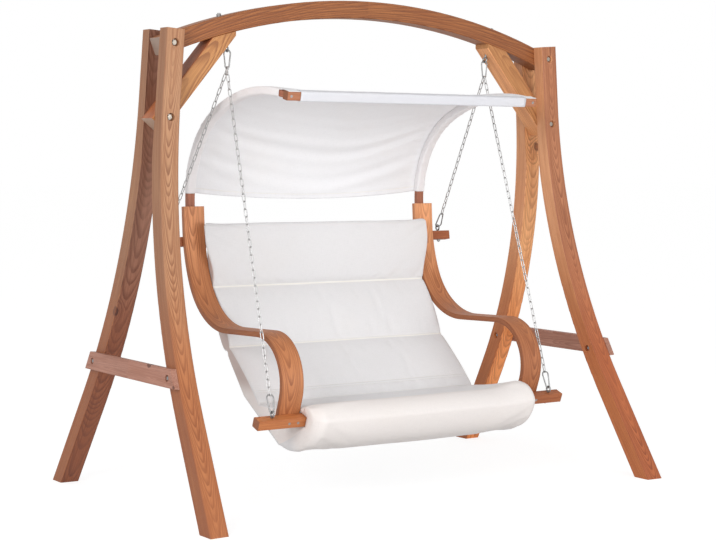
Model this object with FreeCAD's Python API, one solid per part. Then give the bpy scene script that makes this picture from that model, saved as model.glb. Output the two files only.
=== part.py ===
"""Canopy garden swing: a bolted frame of bent larch with a padded seat and a fabric roof hung on chains.

Millimetres. +Z is up, the front is towards -Y, and the origin is on the ground under the middle.
"""
import FreeCAD, Part
import math
import os
from FreeCAD import Vector

# Legs: bent bars that lean in towards the top and flare to front and back
LEG_WIDTH = 80.0            # along X
LEG_THICK = 75.0            # along Y, where the leg is upright
LEG_HEIGHT = 1893.0         # leg tops above the ground
LEG_FLOOR_X = 1086.0        # middle of the foot from the middle of the swing
LEG_LEAN = 4.12             # degrees, tops towards the middle
LEG_TOP_Y = 67.0            # middle of the upright part from the middle of the swing
LEG_FOOT_Y = 648.0          # middle of the foot
LEG_BEND_RADIUS = 2400.0
LEG_FLARE = 31.0            # degrees between the upright part and the foot

# Arch beam, seated between the front and rear legs
ARCH_RISE = 157.0           # crown of the arch above the leg tops
ARCH_RADIUS = 2670.0        # upper side
ARCH_DEPTH = 72.0
ARCH_WIDTH = 90.0           # along Y, and the gap between front and rear legs
ARCH_SETBACK = 3.0          # upper corners of its square ends, inside the legs' outer faces

# Braces under the arch
BRACE_THICK = 75.0
BRACE_BOLT_DOWN = 347.0     # bolt in the legs, below the leg tops
BRACE_FOOT = 38.0           # square lower end, past the bolt in the legs
BRACE_TIP_BEYOND = 44.0     # end under the arch, past the hanger bolt
BRACE_TIP_HEIGHT = 19.0     # square end under the arch

# Stretchers: boards outside the legs
STRETCHER_Z = 547.0
STRETCHER_HEIGHT = 74.0
STRETCHER_THICK = 25.0

# Bolts of the frame
ARCH_BOLT_DOWN = 55.0       # bolt through legs and arch, below the leg tops
FRAME_BOLT = 10.0           # shank diameter
STRETCHER_BOLT = 8.0
WOOD_CLEARANCE = 0.3        # radial, round a bolt in wood
NUT_CLEARANCE = 0.1         # radial, round a bolt in its nut and washer
RECESS_DEPTH = 16.0
RECESS_MARGIN = 5.0         # radial, round a washer in its recess
BOARD_RECESS = 10.0         # recess for a bolt head in a stretcher
WASHER_THICK = 2.0

# Rounding of the long edges
FRAME_EASE = 4.0
BOARD_EASE = 2.5
SEAT_EASE = 3.0

# Hanger eyes and seat eyes
HANGER_X = 690.0            # where the eye bolt crosses the middle of the arch
EYE_RADIUS = 12.0           # middle of the ring's wire
EYE_WIRE = 7.0
EYE_SHANK = 10.0
EYE_STANDOFF = 21.0         # ring centre from the wood
SEAT_EYE_SHANK = 8.0
EYE_FOOT = 1.0              # ring above the bar it stands on
FRONT_EYE_OUT = 44.0        # eyes from the arms' outer faces
REAR_EYE_OUT = 61.0

# Carabiners
HOOK_WIRE = 6.0
HOOK_LENGTH = 80.0          # over all
HOOK_NARROW_RADIUS = 9.0    # middle of the wire
HOOK_WIDE_RADIUS = 15.0
HOOK_NOSE = 5.0             # straight stretch beyond the wide bend, where the gate closes
GATE_ROD = 5.4
GATE_GAP = 0.5              # at the gate's tip and round its knuckle
GATE_PIVOT = 9.0            # pin from the narrow bend
GATE_PIN = 2.0
GATE_TONGUE = 2.2           # thickness in the slot of the hook
GATE_TONGUE_WIDTH = 4.0
SLOT_CLEARANCE = 0.1        # each side of the tongue
PIN_CLEARANCE = 0.05        # radial, gate on its pin
SEAT_GAP = 0.3              # between hooks, rings and links that bear on each other

# Chains
LINK_WIRE = 4.0
LINK_PITCH = 32.0           # wanted; the links fill the hanging length
LINK_INNER_WIDTH = 8.0
LINK_GAP = 0.2
CHAIN_APART = 2.4           # each end link beside the middle of the upper hook

# Arms: bent boards, drawn along their front and upper side
ARM_INNER_X = 557.0
ARM_WIDTH = 100.0
ARM_THICK = 22.0
ARM_TOP_Y = 378.0
ARM_TOP_DOWN = 715.0        # arm tops below the leg tops
ARM_RECLINE = 4.0           # degrees at the top
ARM_STRAIGHT = 95.0         # straight top, behind which the canopy rib is bolted
ARM_BACK_RADIUS = 630.0
ARM_BACK_TURN = 20.0
ARM_ELBOW_RADIUS = 310.0
ARM_REST_RISE = 2.0         # degrees, armrest upwards to the front
ARM_REST_LENGTH = 250.0
ARM_FRONT_RADIUS = 195.0
ARM_FRONT_LEAN = 20.0       # degrees, lower end to the rear
ARM_TAIL = 116.0            # straight lower end, behind the front bar

# Cross bars
BAR_DEPTH = 45.0
BAR_HEIGHT = 40.0
BAR_OVERHANG = 50.0         # ends of the bars past the rear eyes
FRONT_BAR_DOWN = 74.0       # middle of the bar along the arm's straight lower end
REAR_BAR_DOWN = 52.0        # middle of the bar along the arm, below its straight top

# Sling: seams from its bars, as (Y, Z) on the sitting side
SLING_SIDE_GAP = 3.0        # sling from the arms
SLING_THICK = 62.0
SEAM_THICK = 38.0
SLING_CROWN = 11.0          # swell of a channel over its seams
SLING_TOP = (-100.0, 72.0)          # from the rear bar
SEAM_BACK = (-106.0, -190.0)        # from the rear bar
SEAM_SEAT = (-252.0, -432.0)        # from the rear bar
SEAM_FRONT = (333.0, 24.0)          # from the front bar
SLING_END = 14.0            # rounding at the sides
SLING_DRAWN_IN = 6.0        # thinner at the sides, each face
SLEEVE_WALL = 5.0

# Front roll, as (Y, Z) from the middle of the front bar
ROLL_TOP = (-12.0, 79.0)
ROLL_BROW = (-92.0, 58.0)
ROLL_FRONT = (-121.0, 12.0)
ROLL_CHIN = (-84.0, -60.0)
ROLL_LOW = (0.0, -119.0)
ROLL_BOTTOM = (95.0, -145.0)
ROLL_HEEL = (190.0, -128.0)
ROLL_RISE = (130.0, 66.0)           # on the upper face between roll and seam
ROLL_HOLLOW = ((14.0, 46.0), (132.0, 42.0), (264.0, 4.0), (198.0, -97.0), (97.0, -118.0), (4.0, -88.0),
               (-15.0, -26.0))      # the roll is a padded tube round its bar

# Canopy ribs, drawn along their rear and upper side
RIB_WIDTH = 35.0
RIB_THICK = 26.0
RIB_LAP = 92.0              # behind the arm's top
RIB_BACK_RADIUS = 420.0
RIB_BACK_TURN = 67.0
RIB_TOP_RADIUS = 845.0
RIB_TOP_TURN = 40.0
CANOPY_BAR = 35.0

# Canopy fabric
CLOTH = 3.0
CLOTH_GAP = 0.3
CANOPY_EDGE = 2.5           # cloth inside the ribs' outer faces
CANOPY_HEM_UP = 60.0        # hem at the ribs, above the arms' tops
CANOPY_HEM_DROP = 30.0      # hem lower in the middle
CANOPY_SAG = 24.0
SLEEVE_SHORT = 24.0         # sleeve of the front bar from the ribs
CANOPY_NOTCH = 75.0         # cut-out at the front corners

# Seat fasteners
SCREW = 6.0
SCREW_HEAD = 11.0
SCREW_APART = 40.0          # two screws in each arm's lower end
RIB_SCREW_IN = 24.0         # from the ends of the rib's lap on the arm

SIDES = (("left", -1.0), ("right", 1.0))
X_AXIS = Vector(1, 0, 0)
Y_AXIS = Vector(0, 1, 0)
Z_AXIS = Vector(0, 0, 1)
LEAN_TAN = math.tan(math.radians(LEG_LEAN))
HEIGHT = LEG_HEIGHT + ARCH_RISE
ARCH_BOLT_Z = LEG_HEIGHT - ARCH_BOLT_DOWN
BRACE_BOLT_Z = LEG_HEIGHT - BRACE_BOLT_DOWN
ARM_TOP = (ARM_TOP_Y, LEG_HEIGHT - ARM_TOP_DOWN)
ARM_OUTER_X = ARM_INNER_X + ARM_WIDTH
ARM_MIDDLE_X = ARM_INNER_X + ARM_WIDTH / 2
FRONT_EYE_X = ARM_OUTER_X + FRONT_EYE_OUT
REAR_EYE_X = ARM_OUTER_X + REAR_EYE_OUT
BAR_HALF = REAR_EYE_X + BAR_OVERHANG
SLING_HALF = ARM_INNER_X - SLING_SIDE_GAP
RIB_INNER_X = ARM_MIDDLE_X - RIB_WIDTH / 2
RIB_OUTER_X = ARM_MIDDLE_X + RIB_WIDTH / 2
CANOPY_HALF = RIB_OUTER_X - CANOPY_EDGE
BIG = 2 * HEIGHT
nodes = {}


def polar(angle, length=1.0):
    """(Y, Z) of a length along an angle in the side view, from +Y towards +Z."""
    a = math.radians(angle)
    return (length * math.cos(a), length * math.sin(a))


def add(p, q):
    return (p[0] + q[0], p[1] + q[1])


def side_view(x, p):
    return Vector(x, p[0], p[1])


def rod(start, direction, radius, length):
    return Part.makeCylinder(radius, length, start, direction)


def tube(start, direction, outer, inner, length):
    return rod(start, direction, outer, length).cut(rod(start, direction, inner, length))


def hexagon(start, direction, across, length):
    """Six-sided prism along a direction."""
    axis = Vector(direction).normalize()
    side = axis.cross(Z_AXIS if abs(axis.z) < 0.9 else X_AXIS).normalize()
    corner = across / math.sqrt(3.0)
    turn = FreeCAD.Rotation(axis, 60.0)
    points = [start + side * corner]
    arm = side * corner
    for _ in range(6):
        arm = turn.multVec(arm)
        points.append(start + arm)
    points[-1] = points[0]
    return Part.Face(Part.makePolygon(points)).extrude(axis * length)


def nut(start, direction, shank, height):
    across = 1.7 * shank
    return hexagon(start, direction, across, height).cut(
        rod(start, direction, shank / 2 + NUT_CLEARANCE, height))


def washer(start, direction, shank, outer):
    return tube(start, direction, outer / 2, shank / 2 + NUT_CLEARANCE, WASHER_THICK)


def cut_all(shape, tools):
    return shape.cut(tools) if tools else shape


def arc(p, q, r):
    return Part.Arc(p, q, r).toShape()


def line(p, q):
    return Part.LineSegment(p, q).toShape()


def run_path(start, heading, moves):
    """Side-view path of lines (length,) and arcs (radius, turn); turns are anticlockwise from +Y to +Z."""
    pieces = []
    point = start
    for move in moves:
        if len(move) == 1:
            pieces.append({"start": point, "heading": heading, "length": move[0]})
            point = add(point, polar(heading, move[0]))
            continue
        radius, turn = move
        side = 1.0 if turn > 0 else -1.0
        centre = add(point, polar(heading + 90.0, side * radius))
        pieces.append({"centre": centre, "radius": radius, "side": side, "heading": heading, "turn": turn})
        heading += turn
        point = add(centre, polar(heading + 90.0, -side * radius))
    return pieces


def path_point(piece, share, offset):
    """Point at a share of a piece's length, offset to the left of its heading."""
    if "length" in piece:
        point = add(piece["start"], polar(piece["heading"], share * piece["length"]))
        return add(point, polar(piece["heading"] + 90.0, offset))
    heading = piece["heading"] + share * piece["turn"]
    reach = piece["radius"] - piece["side"] * offset
    return add(piece["centre"], polar(heading + 90.0, -piece["side"] * reach))


def path_edges(x, pieces, offset, backwards=False):
    edges = []
    shares = (1.0, 0.5, 0.0) if backwards else (0.0, 0.5, 1.0)
    for piece in reversed(pieces) if backwards else pieces:
        points = [side_view(x, path_point(piece, s, offset)) for s in shares]
        edges.append(line(points[0], points[2]) if "length" in piece else arc(*points))
    return edges


def strip_wire(x, pieces, near, far):
    """Closed outline between two offsets of a path."""
    there = path_edges(x, pieces, near)
    back = path_edges(x, pieces, far, backwards=True)
    first, last = path_point(pieces[0], 0.0, near), path_point(pieces[-1], 1.0, near)
    first_far, last_far = path_point(pieces[0], 0.0, far), path_point(pieces[-1], 1.0, far)
    return Part.Wire(there + [line(side_view(x, last), side_view(x, last_far))]
                     + back + [line(side_view(x, first_far), side_view(x, first))])


def bent_bar(pieces, near, far, x0, x1):
    return Part.Face(strip_wire(x0, pieces, near, far)).extrude(Vector(x1 - x0, 0, 0))


def eased(shape, radius, shortest):
    """Round the edges of a bar that are longer than a length."""
    return shape.makeFillet(radius, [e for e in shape.Edges if e.Length > shortest])


def eased_bar(pieces, near, far, x0, x1, radius):
    """Bent bar with its long edges rounded."""
    shape = bent_bar(pieces, near, far, x0, x1)
    sides = [e for e in shape.Edges if e.BoundBox.XLength < 1e-6 and e.Length > 1.5 * abs(far - near)]
    return shape.makeFillet(radius, sides)


def turned_box(centre, tilt, depth, height, x0, x1):
    """Bar along X with its section turned in the side view."""
    shape = Part.makeBox(x1 - x0, depth, height, Vector(x0, -depth / 2, -height / 2))
    shape.rotate(Vector(), X_AXIS, tilt)
    shape.translate(side_view(0, centre))
    return shape


# Frame
def leg_x(z):
    """Middle of a leg at a height, from the middle of the swing."""
    return LEG_FLOOR_X - z * LEAN_TAN


def leg_path(foot_extra):
    """Middle line of a front leg from its top, in the leaning plane of the leg."""
    top = LEG_HEIGHT / math.cos(math.radians(LEG_LEAN))
    flare = math.radians(LEG_FLARE)
    bend_y = LEG_BEND_RADIUS * (1 - math.cos(flare))
    straight = (LEG_FOOT_Y - LEG_TOP_Y - bend_y) / math.sin(flare)
    bend_top = LEG_BEND_RADIUS * math.sin(flare) + straight * math.cos(flare)
    return run_path((-LEG_TOP_Y, top), -90.0,
                    [(top - bend_top,), (LEG_BEND_RADIUS, -LEG_FLARE), (straight + foot_extra,)])


def leg_y(z, offset):
    """Y of a front leg's middle line, or of a line beside it, on its bend at a height."""
    bend = leg_path(0.0)[1]
    reach = bend["radius"] - offset
    return bend["centre"][0] + math.sqrt(reach ** 2 - (z - bend["centre"][1]) ** 2)


def lean(shape, side):
    """Tip a shape built upright at the foot's place, so that its top goes towards the middle."""
    shape.translate(Vector(side * LEG_FLOOR_X, 0, 0))
    shape.rotate(Vector(side * LEG_FLOOR_X, 0, 0), Y_AXIS, -side * LEG_LEAN)
    return shape


def arch_bow(centre):
    """Bow of the arch between its square ends, with its long edges bevelled."""
    section = Part.makeBox(1.0, ARCH_WIDTH, ARCH_DEPTH, Vector(0, -ARCH_WIDTH / 2, HEIGHT - ARCH_DEPTH))
    section = section.makeChamfer(FRAME_EASE, [e for e in section.Edges if e.BoundBox.XLength > 0.5])
    end = min(section.Faces, key=lambda face: face.CenterOfMass.x)
    reach = leg_x(ARCH_BOLT_Z) + LEG_WIDTH / 2 - ARCH_SETBACK
    half = math.degrees(math.asin(reach / ARCH_RADIUS))
    end.rotate(centre, Y_AXIS, -half)
    return end.revolve(centre, Y_AXIS, 2 * half)


def build_frame():
    arch_centre = Vector(0, -ARCH_WIDTH / 2, HEIGHT - ARCH_RADIUS)
    hollow = rod(arch_centre, Y_AXIS, ARCH_RADIUS - ARCH_DEPTH, ARCH_WIDTH)
    face_y = LEG_TOP_Y + LEG_THICK / 2
    floor_y = face_y - RECESS_DEPTH
    frame_washer = 2.2 * FRAME_BOLT
    stretcher_washer = 2.2 * STRETCHER_BOLT

    arch = arch_bow(arch_centre)
    below = Part.makeBox(2 * BIG, 2 * BIG, BIG, Vector(-BIG, -BIG, -BIG))
    groups = {name: [] for name in ("frame_bolts", "frame_nuts", "frame_washers", "stretcher_bolts",
                                    "stretcher_nuts", "stretcher_washers")}
    eye_parts = [hanger_eye(side) for _, side in SIDES]
    arch_holes = [part["hole"] for part in eye_parts]

    for name, side in SIDES:
        # Bolts along Y through both legs and what stands between them
        leg_cuts = [Part.makeBox(2 * BIG, ARCH_WIDTH, BIG, Vector(-BIG, -ARCH_WIDTH / 2, 0))]
        between = []
        for z in (ARCH_BOLT_Z, BRACE_BOLT_Z):
            at = Vector(side * leg_x(z), 0, z)
            hole = rod(at - Y_AXIS * BIG, Y_AXIS, FRAME_BOLT / 2 + WOOD_CLEARANCE, 2 * BIG)
            between.append(hole)
            leg_cuts.append(hole)
            for way in (-1.0, 1.0):
                out = Y_AXIS * way
                recess = rod(at + out * floor_y, out, frame_washer / 2 + RECESS_MARGIN, 3 * RECESS_DEPTH)
                leg_cuts.append(recess)
                groups["frame_washers"].append(washer(at + out * floor_y, out, FRAME_BOLT, frame_washer))
            head = at - Y_AXIS * (floor_y + WASHER_THICK)
            grip = 2 * (floor_y + WASHER_THICK)
            bolt = hexagon(head, -Y_AXIS, 1.7 * FRAME_BOLT, 0.64 * FRAME_BOLT)
            bolt = bolt.fuse(rod(head, Y_AXIS, FRAME_BOLT / 2, grip + FRAME_BOLT)).removeSplitter()
            groups["frame_bolts"].append(bolt)
            groups["frame_nuts"].append(nut(head + Y_AXIS * grip, Y_AXIS, FRAME_BOLT, 0.8 * FRAME_BOLT))

        brace = build_brace(side).common(hollow)
        nodes["brace_" + name] = cut_all(brace, between + [eye_parts[0 if side < 0 else 1]["hole"]])
        arch_holes += between

        # Stretcher and its bolts, upright at the foot's place and then tipped with the legs
        outer = LEG_WIDTH / 2
        low, high = STRETCHER_Z - STRETCHER_HEIGHT / 2, STRETCHER_Z + STRETCHER_HEIGHT / 2
        end_low, end_high = leg_y(low, LEG_THICK / 2), leg_y(high, LEG_THICK / 2)
        corners = [(end_low, low), (-end_low, low), (-end_high, high), (end_high, high), (end_low, low)]
        start_x = outer if side > 0 else -outer - STRETCHER_THICK
        board = Part.Face(Part.makePolygon([side_view(start_x, c) for c in corners]))
        board = eased(board.extrude(X_AXIS * STRETCHER_THICK), BOARD_EASE, 2 * STRETCHER_HEIGHT)
        out = X_AXIS * side
        stretcher_holes, board_recesses = [], []
        for way in (-1.0, 1.0):
            at = Vector(0, -way * leg_y(STRETCHER_Z, 0.0), STRETCHER_Z)
            stretcher_holes.append(rod(at - out * 2 * LEG_WIDTH, out, STRETCHER_BOLT / 2 + WOOD_CLEARANCE,
                                       4 * LEG_WIDTH))
            recess_floor = at - out * (outer - RECESS_DEPTH)
            recess = rod(recess_floor, -out, stretcher_washer / 2 + RECESS_MARGIN, 3 * RECESS_DEPTH)
            leg_cuts.append(lean(recess, side))
            board_floor = at + out * (outer + STRETCHER_THICK - BOARD_RECESS)
            board_recesses.append(rod(board_floor, out, stretcher_washer / 2 + RECESS_MARGIN, 2 * BOARD_RECESS))
            groups["stretcher_washers"].append(lean(washer(board_floor, out, STRETCHER_BOLT,
                                                           stretcher_washer), side))
            head = board_floor + out * WASHER_THICK
            bolt = hexagon(head, out, 1.7 * STRETCHER_BOLT, 0.64 * STRETCHER_BOLT)
            grip = LEG_WIDTH + STRETCHER_THICK - BOARD_RECESS - RECESS_DEPTH + 2 * WASHER_THICK
            bolt = bolt.fuse(rod(head, -out, STRETCHER_BOLT / 2, grip + STRETCHER_BOLT)).removeSplitter()
            groups["stretcher_bolts"].append(lean(bolt, side))
            groups["stretcher_washers"].append(lean(washer(recess_floor, -out, STRETCHER_BOLT,
                                                           stretcher_washer), side))
            groups["stretcher_nuts"].append(lean(nut(recess_floor - out * WASHER_THICK, -out, STRETCHER_BOLT,
                                                     0.8 * STRETCHER_BOLT), side))
        nodes["stretcher_" + name] = lean(cut_all(board, stretcher_holes + board_recesses), side)
        leg_cuts += [lean(hole, side) for hole in stretcher_holes]

        front = eased_bar(leg_path(2 * LEG_THICK), -LEG_THICK / 2, LEG_THICK / 2, -outer, outer, FRAME_EASE)
        rear = front.mirror(Vector(), Y_AXIS)
        for place, leg in (("front", front), ("rear", rear)):
            nodes["leg_{}_{}".format(place, name)] = cut_all(lean(leg, side), [below] + leg_cuts)

    nodes["arch_beam"] = cut_all(arch, arch_holes)
    for name, solids in groups.items():
        nodes[name] = Part.makeCompound(solids)
    nodes["hanger_eye_bolts"] = Part.makeCompound([part["bolt"] for part in eye_parts])
    nodes["hanger_washers"] = Part.makeCompound([part["washer"] for part in eye_parts])
    nodes["hanger_nuts"] = Part.makeCompound([part["nut"] for part in eye_parts])


def brace_tip():
    """X and Z of the lower corner of a brace's square end under the arch."""
    x = HANGER_X - BRACE_TIP_BEYOND
    under = HEIGHT - ARCH_RADIUS + math.sqrt((ARCH_RADIUS - ARCH_DEPTH) ** 2 - x ** 2)
    return x, under - BRACE_TIP_HEIGHT


def brace_angle():
    """Slope of a brace whose underside ends at its tip and whose middle line passes its leg bolt."""
    x, z = brace_tip()
    across, drop = leg_x(BRACE_BOLT_Z) - x, z - BRACE_BOLT_Z
    return math.degrees(math.atan2(drop, across) + math.asin(BRACE_THICK / 2 / math.hypot(across, drop)))


def build_brace(side):
    """Bar from its square lower end between the legs up past the arch's underside."""
    start = -HEIGHT if side > 0 else -BRACE_FOOT
    corner = Vector(start, -ARCH_WIDTH / 2, -BRACE_THICK / 2)
    shape = Part.makeBox(HEIGHT + BRACE_FOOT, ARCH_WIDTH, BRACE_THICK, corner)
    shape = eased(shape, FRAME_EASE, HEIGHT)
    shape.rotate(Vector(), Y_AXIS, side * brace_angle())
    shape.translate(Vector(side * leg_x(BRACE_BOLT_Z), 0, BRACE_BOLT_Z))
    tip = brace_tip()[0]
    beyond = Part.makeBox(BIG, 2 * BIG, 2 * BIG, Vector(tip if side > 0 else -tip - BIG, -BIG, 0))
    return shape.common(beyond)


def eye_ring(centre, normal):
    return Part.makeTorus(EYE_RADIUS, EYE_WIRE / 2, centre, normal)


def hanger_axis(side):
    """Direction of a hanger bolt, square to the arch, and the arch's centre."""
    angle = math.asin(HANGER_X / (ARCH_RADIUS - ARCH_DEPTH / 2))
    return Vector(side * math.sin(angle), 0, math.cos(angle)), Vector(0, 0, HEIGHT - ARCH_RADIUS)


def hanger_ring(side):
    """Centre of the ring, below where its bolt leaves the sloping underside of the brace."""
    axis, centre = hanger_axis(side)
    slope = math.radians(brace_angle())
    normal = Vector(-side * math.sin(slope), 0, -math.cos(slope))
    on_face = Vector(side * leg_x(BRACE_BOLT_Z), 0, BRACE_BOLT_Z) + normal * (BRACE_THICK / 2)
    reach = (on_face - centre).dot(normal) / axis.dot(normal)
    return centre + axis * (reach - EYE_STANDOFF)


def hanger_eye(side):
    axis, centre = hanger_axis(side)
    ring = hanger_ring(side)
    top = centre + axis * ARCH_RADIUS
    nut_height = 0.8 * EYE_SHANK
    length = (top - ring).Length - EYE_RADIUS + WASHER_THICK + nut_height + 0.4 * EYE_SHANK
    bolt = eye_ring(ring, axis.cross(Y_AXIS)).fuse(rod(ring + axis * EYE_RADIUS, axis, EYE_SHANK / 2, length))
    return {
        "bolt": bolt.removeSplitter(),
        "hole": rod(ring + axis * EYE_RADIUS, axis, EYE_SHANK / 2 + WOOD_CLEARANCE, length),
        "washer": washer(top + axis * NUT_CLEARANCE, axis, EYE_SHANK, 2.2 * EYE_SHANK),
        "nut": nut(top + axis * (WASHER_THICK + NUT_CLEARANCE), axis, EYE_SHANK, nut_height),
    }


# Arms and bars of the seat
def arm_path():
    turn_down = 180.0 - 90.0 + ARM_REST_RISE + ARM_FRONT_LEAN
    return run_path(ARM_TOP, -90.0 - ARM_RECLINE, [
        (ARM_STRAIGHT,),
        (ARM_BACK_RADIUS, -ARM_BACK_TURN),
        (ARM_ELBOW_RADIUS, -(90.0 + ARM_REST_RISE - ARM_RECLINE - ARM_BACK_TURN)),
        (ARM_REST_LENGTH,),
        (ARM_FRONT_RADIUS, turn_down),
        (ARM_TAIL,),
    ])


def front_bar_place():
    """Middle and tilt of the front bar, flat against the front of the arms' lower ends."""
    tail = arm_path()[-1]
    middle = path_point(tail, FRONT_BAR_DOWN / ARM_TAIL, -BAR_DEPTH / 2)
    return middle, tail["heading"] + 90.0


def rear_bar_place():
    """Middle and tilt of the rear bar, flat against the back of the arms below their tops."""
    back = arm_path()[1]
    share = rear_bar_share()
    middle = path_point(back, share, ARM_THICK + BAR_DEPTH / 2)
    return middle, back["heading"] + share * back["turn"] + 90.0


def rear_bar_share():
    """Place of the rear bar as a share of the arm's upper bend."""
    return REAR_BAR_DOWN / (math.radians(ARM_BACK_TURN) * ARM_BACK_RADIUS)


def seat_eye(x, bar_middle, tilt):
    """Eye bolt standing on a cross bar, with its washer and nut below."""
    up = side_view(0, polar(tilt + 90.0))
    face = side_view(x, bar_middle) + up * (BAR_HEIGHT / 2)
    ring = face + up * (EYE_RADIUS + EYE_WIRE / 2 + EYE_FOOT)
    under = side_view(x, bar_middle) - up * (BAR_HEIGHT / 2)
    nut_height = 0.8 * SEAT_EYE_SHANK
    tail = WASHER_THICK + nut_height + 0.4 * SEAT_EYE_SHANK
    length = (ring - under).Length - EYE_RADIUS + tail
    bolt = eye_ring(ring, X_AXIS).fuse(rod(ring - up * EYE_RADIUS, -up, SEAT_EYE_SHANK / 2, length))
    return {
        "ring": ring,
        "bolt": bolt.removeSplitter(),
        "hole": rod(face, -up, SEAT_EYE_SHANK / 2 + WOOD_CLEARANCE, BAR_HEIGHT),
        "washer": washer(under, -up, SEAT_EYE_SHANK, 2.2 * SEAT_EYE_SHANK),
        "nut": nut(under - up * WASHER_THICK, -up, SEAT_EYE_SHANK, nut_height),
    }


def build_seat():
    """Arms, bars, sling, ribs and canopy with their fasteners; returns the four seat eyes."""
    front_middle, front_tilt = front_bar_place()
    rear_middle, rear_tilt = rear_bar_place()
    front_bar = eased(turned_box(front_middle, front_tilt, BAR_DEPTH, BAR_HEIGHT, -BAR_HALF, BAR_HALF),
                      SEAT_EASE, BAR_HALF)
    rear_bar = eased(turned_box(rear_middle, rear_tilt, BAR_DEPTH, BAR_HEIGHT, -BAR_HALF, BAR_HALF),
                     SEAT_EASE, BAR_HALF)
    eyes = {}
    front_holes, rear_holes = [], []
    groups = {name: [] for name in ("bar_screws", "rear_bar_screws", "rib_screws", "canopy_screws")}
    rib = rib_path()
    rib_foot = rib[0]
    canopy_middle, canopy_tilt = canopy_bar_place()
    canopy_holes = []

    for name, side in SIDES:
        eyes["front_" + name] = seat_eye(side * FRONT_EYE_X, front_middle, front_tilt)
        eyes["rear_" + name] = seat_eye(side * REAR_EYE_X, rear_middle, rear_tilt)
        front_holes.append(eyes["front_" + name]["hole"])
        rear_holes.append(eyes["rear_" + name]["hole"])
        x = side * ARM_MIDDLE_X
        arm_holes = []

        # Screws from the front of the front bar into the arm
        inwards = side_view(0, polar(front_tilt))
        for shift in (-SCREW_APART / 2, SCREW_APART / 2):
            face = side_view(x + shift, front_middle) - inwards * (BAR_DEPTH / 2)
            screw, hole = wood_screw(face, inwards, BAR_DEPTH + 0.8 * ARM_THICK)
            groups["bar_screws"].append(screw)
            front_holes.append(hole)
            arm_holes.append(hole)

        # Screws from behind through the rear bar into the arm
        inwards = side_view(0, polar(rear_tilt + 180.0))
        for shift in (-SCREW_APART / 2, SCREW_APART / 2):
            face = side_view(x + shift, rear_middle) - inwards * (BAR_DEPTH / 2)
            screw, hole = wood_screw(face, inwards, BAR_DEPTH + 0.8 * ARM_THICK)
            groups["rear_bar_screws"].append(screw)
            rear_holes.append(hole)
            arm_holes.append(hole)

        # Screws from behind through the canopy rib into the arm, square to the rib
        rib_way = side_view(0, polar(rib_foot["heading"] + 90.0))
        rib_holes = []
        for up in (RIB_LAP - RIB_SCREW_IN, RIB_SCREW_IN):
            face = side_view(x, add(rib_foot["start"], polar(rib_foot["heading"], up)))
            screw, hole = wood_screw(face, rib_way, RIB_THICK + 0.8 * ARM_THICK)
            groups["rib_screws"].append(screw)
            rib_holes.append(hole)
        arm_holes += rib_holes

        inner, outer = side * ARM_INNER_X, side * ARM_OUTER_X
        arm = eased_bar(arm_path(), 0.0, ARM_THICK, min(inner, outer), max(inner, outer), SEAT_EASE)
        nodes["arm_" + name] = cut_all(arm, arm_holes)

        rib_cuts = list(rib_holes)
        end = side_view(0, polar(canopy_tilt))
        face = side_view(x, canopy_middle) + end * (CANOPY_BAR / 2)
        screw, screw_hole = wood_screw(face, -end, 2 * CANOPY_BAR)
        groups["canopy_screws"].append(screw)
        canopy_holes.append(screw_hole)
        rib_cuts.append(screw_hole)
        rib_solid = eased_bar(rib, 0.0, RIB_THICK, x - RIB_WIDTH / 2, x + RIB_WIDTH / 2, SEAT_EASE)
        nodes["canopy_rib_" + name] = cut_all(rib_solid, rib_cuts)

    nodes["front_bar"] = cut_all(front_bar, front_holes)
    nodes["rear_bar"] = cut_all(rear_bar, rear_holes)
    canopy_bar = eased(turned_box(canopy_middle, canopy_tilt, CANOPY_BAR, CANOPY_BAR, -RIB_OUTER_X, RIB_OUTER_X),
                       SEAT_EASE, RIB_OUTER_X)
    nodes["canopy_bar"] = cut_all(canopy_bar, canopy_holes)
    for name, solids in groups.items():
        nodes[name] = Part.makeCompound(solids)
    for kind in ("bolt", "washer", "nut"):
        name = {"bolt": "seat_eye_bolts", "washer": "seat_eye_washers", "nut": "seat_eye_nuts"}[kind]
        nodes[name] = Part.makeCompound([eye[kind] for eye in eyes.values()])
    nodes["seat_sling"] = build_sling(front_middle, front_tilt, rear_middle, rear_tilt)
    nodes["canopy_fabric"] = build_canopy()
    return eyes


def wood_screw(face, inwards, length):
    """Countersunk screw flush with a face, and the hole that holds it."""
    sink = (SCREW_HEAD - SCREW) / 2
    head = Part.makeCone(SCREW_HEAD / 2, SCREW / 2, sink, face, inwards)
    screw = head.fuse(rod(face, inwards, SCREW / 2, length)).removeSplitter()
    wide = Part.makeCone(SCREW_HEAD / 2 + NUT_CLEARANCE, SCREW / 2 + NUT_CLEARANCE, sink, face, inwards)
    hole = wide.fuse(rod(face, inwards, SCREW / 2 + NUT_CLEARANCE, length + NUT_CLEARANCE))
    return screw, hole.removeSplitter()


# Sling
def sling_outline(front_middle, rear_middle, inset):
    """Points of the sling's section, drawn in by an inset; the arcs swell each channel."""
    top = add(rear_middle, SLING_TOP)
    back = add(rear_middle, SEAM_BACK)
    seat = add(rear_middle, SEAM_SEAT)
    front = add(front_middle, SEAM_FRONT)
    seams = [top, back, seat, front]
    sitting, under = [], []
    for i, seam in enumerate(seams):
        before, after = seams[max(i - 1, 0)], seams[min(i + 1, 3)]
        run = math.degrees(math.atan2(after[1] - before[1], after[0] - before[0]))
        sitting.append(add(seam, polar(run + 90.0, inset)))
        under.append(add(seam, polar(run + 90.0, SEAM_THICK - inset)))
    return sitting, under


def swollen(x, p, q, swell):
    """Arc from p to q that stands out by a swell on its right."""
    run = math.degrees(math.atan2(q[1] - p[1], q[0] - p[0]))
    middle = add(((p[0] + q[0]) / 2, (p[1] + q[1]) / 2), polar(run - 90.0, swell))
    return arc(side_view(x, p), side_view(x, middle), side_view(x, q))


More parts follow.
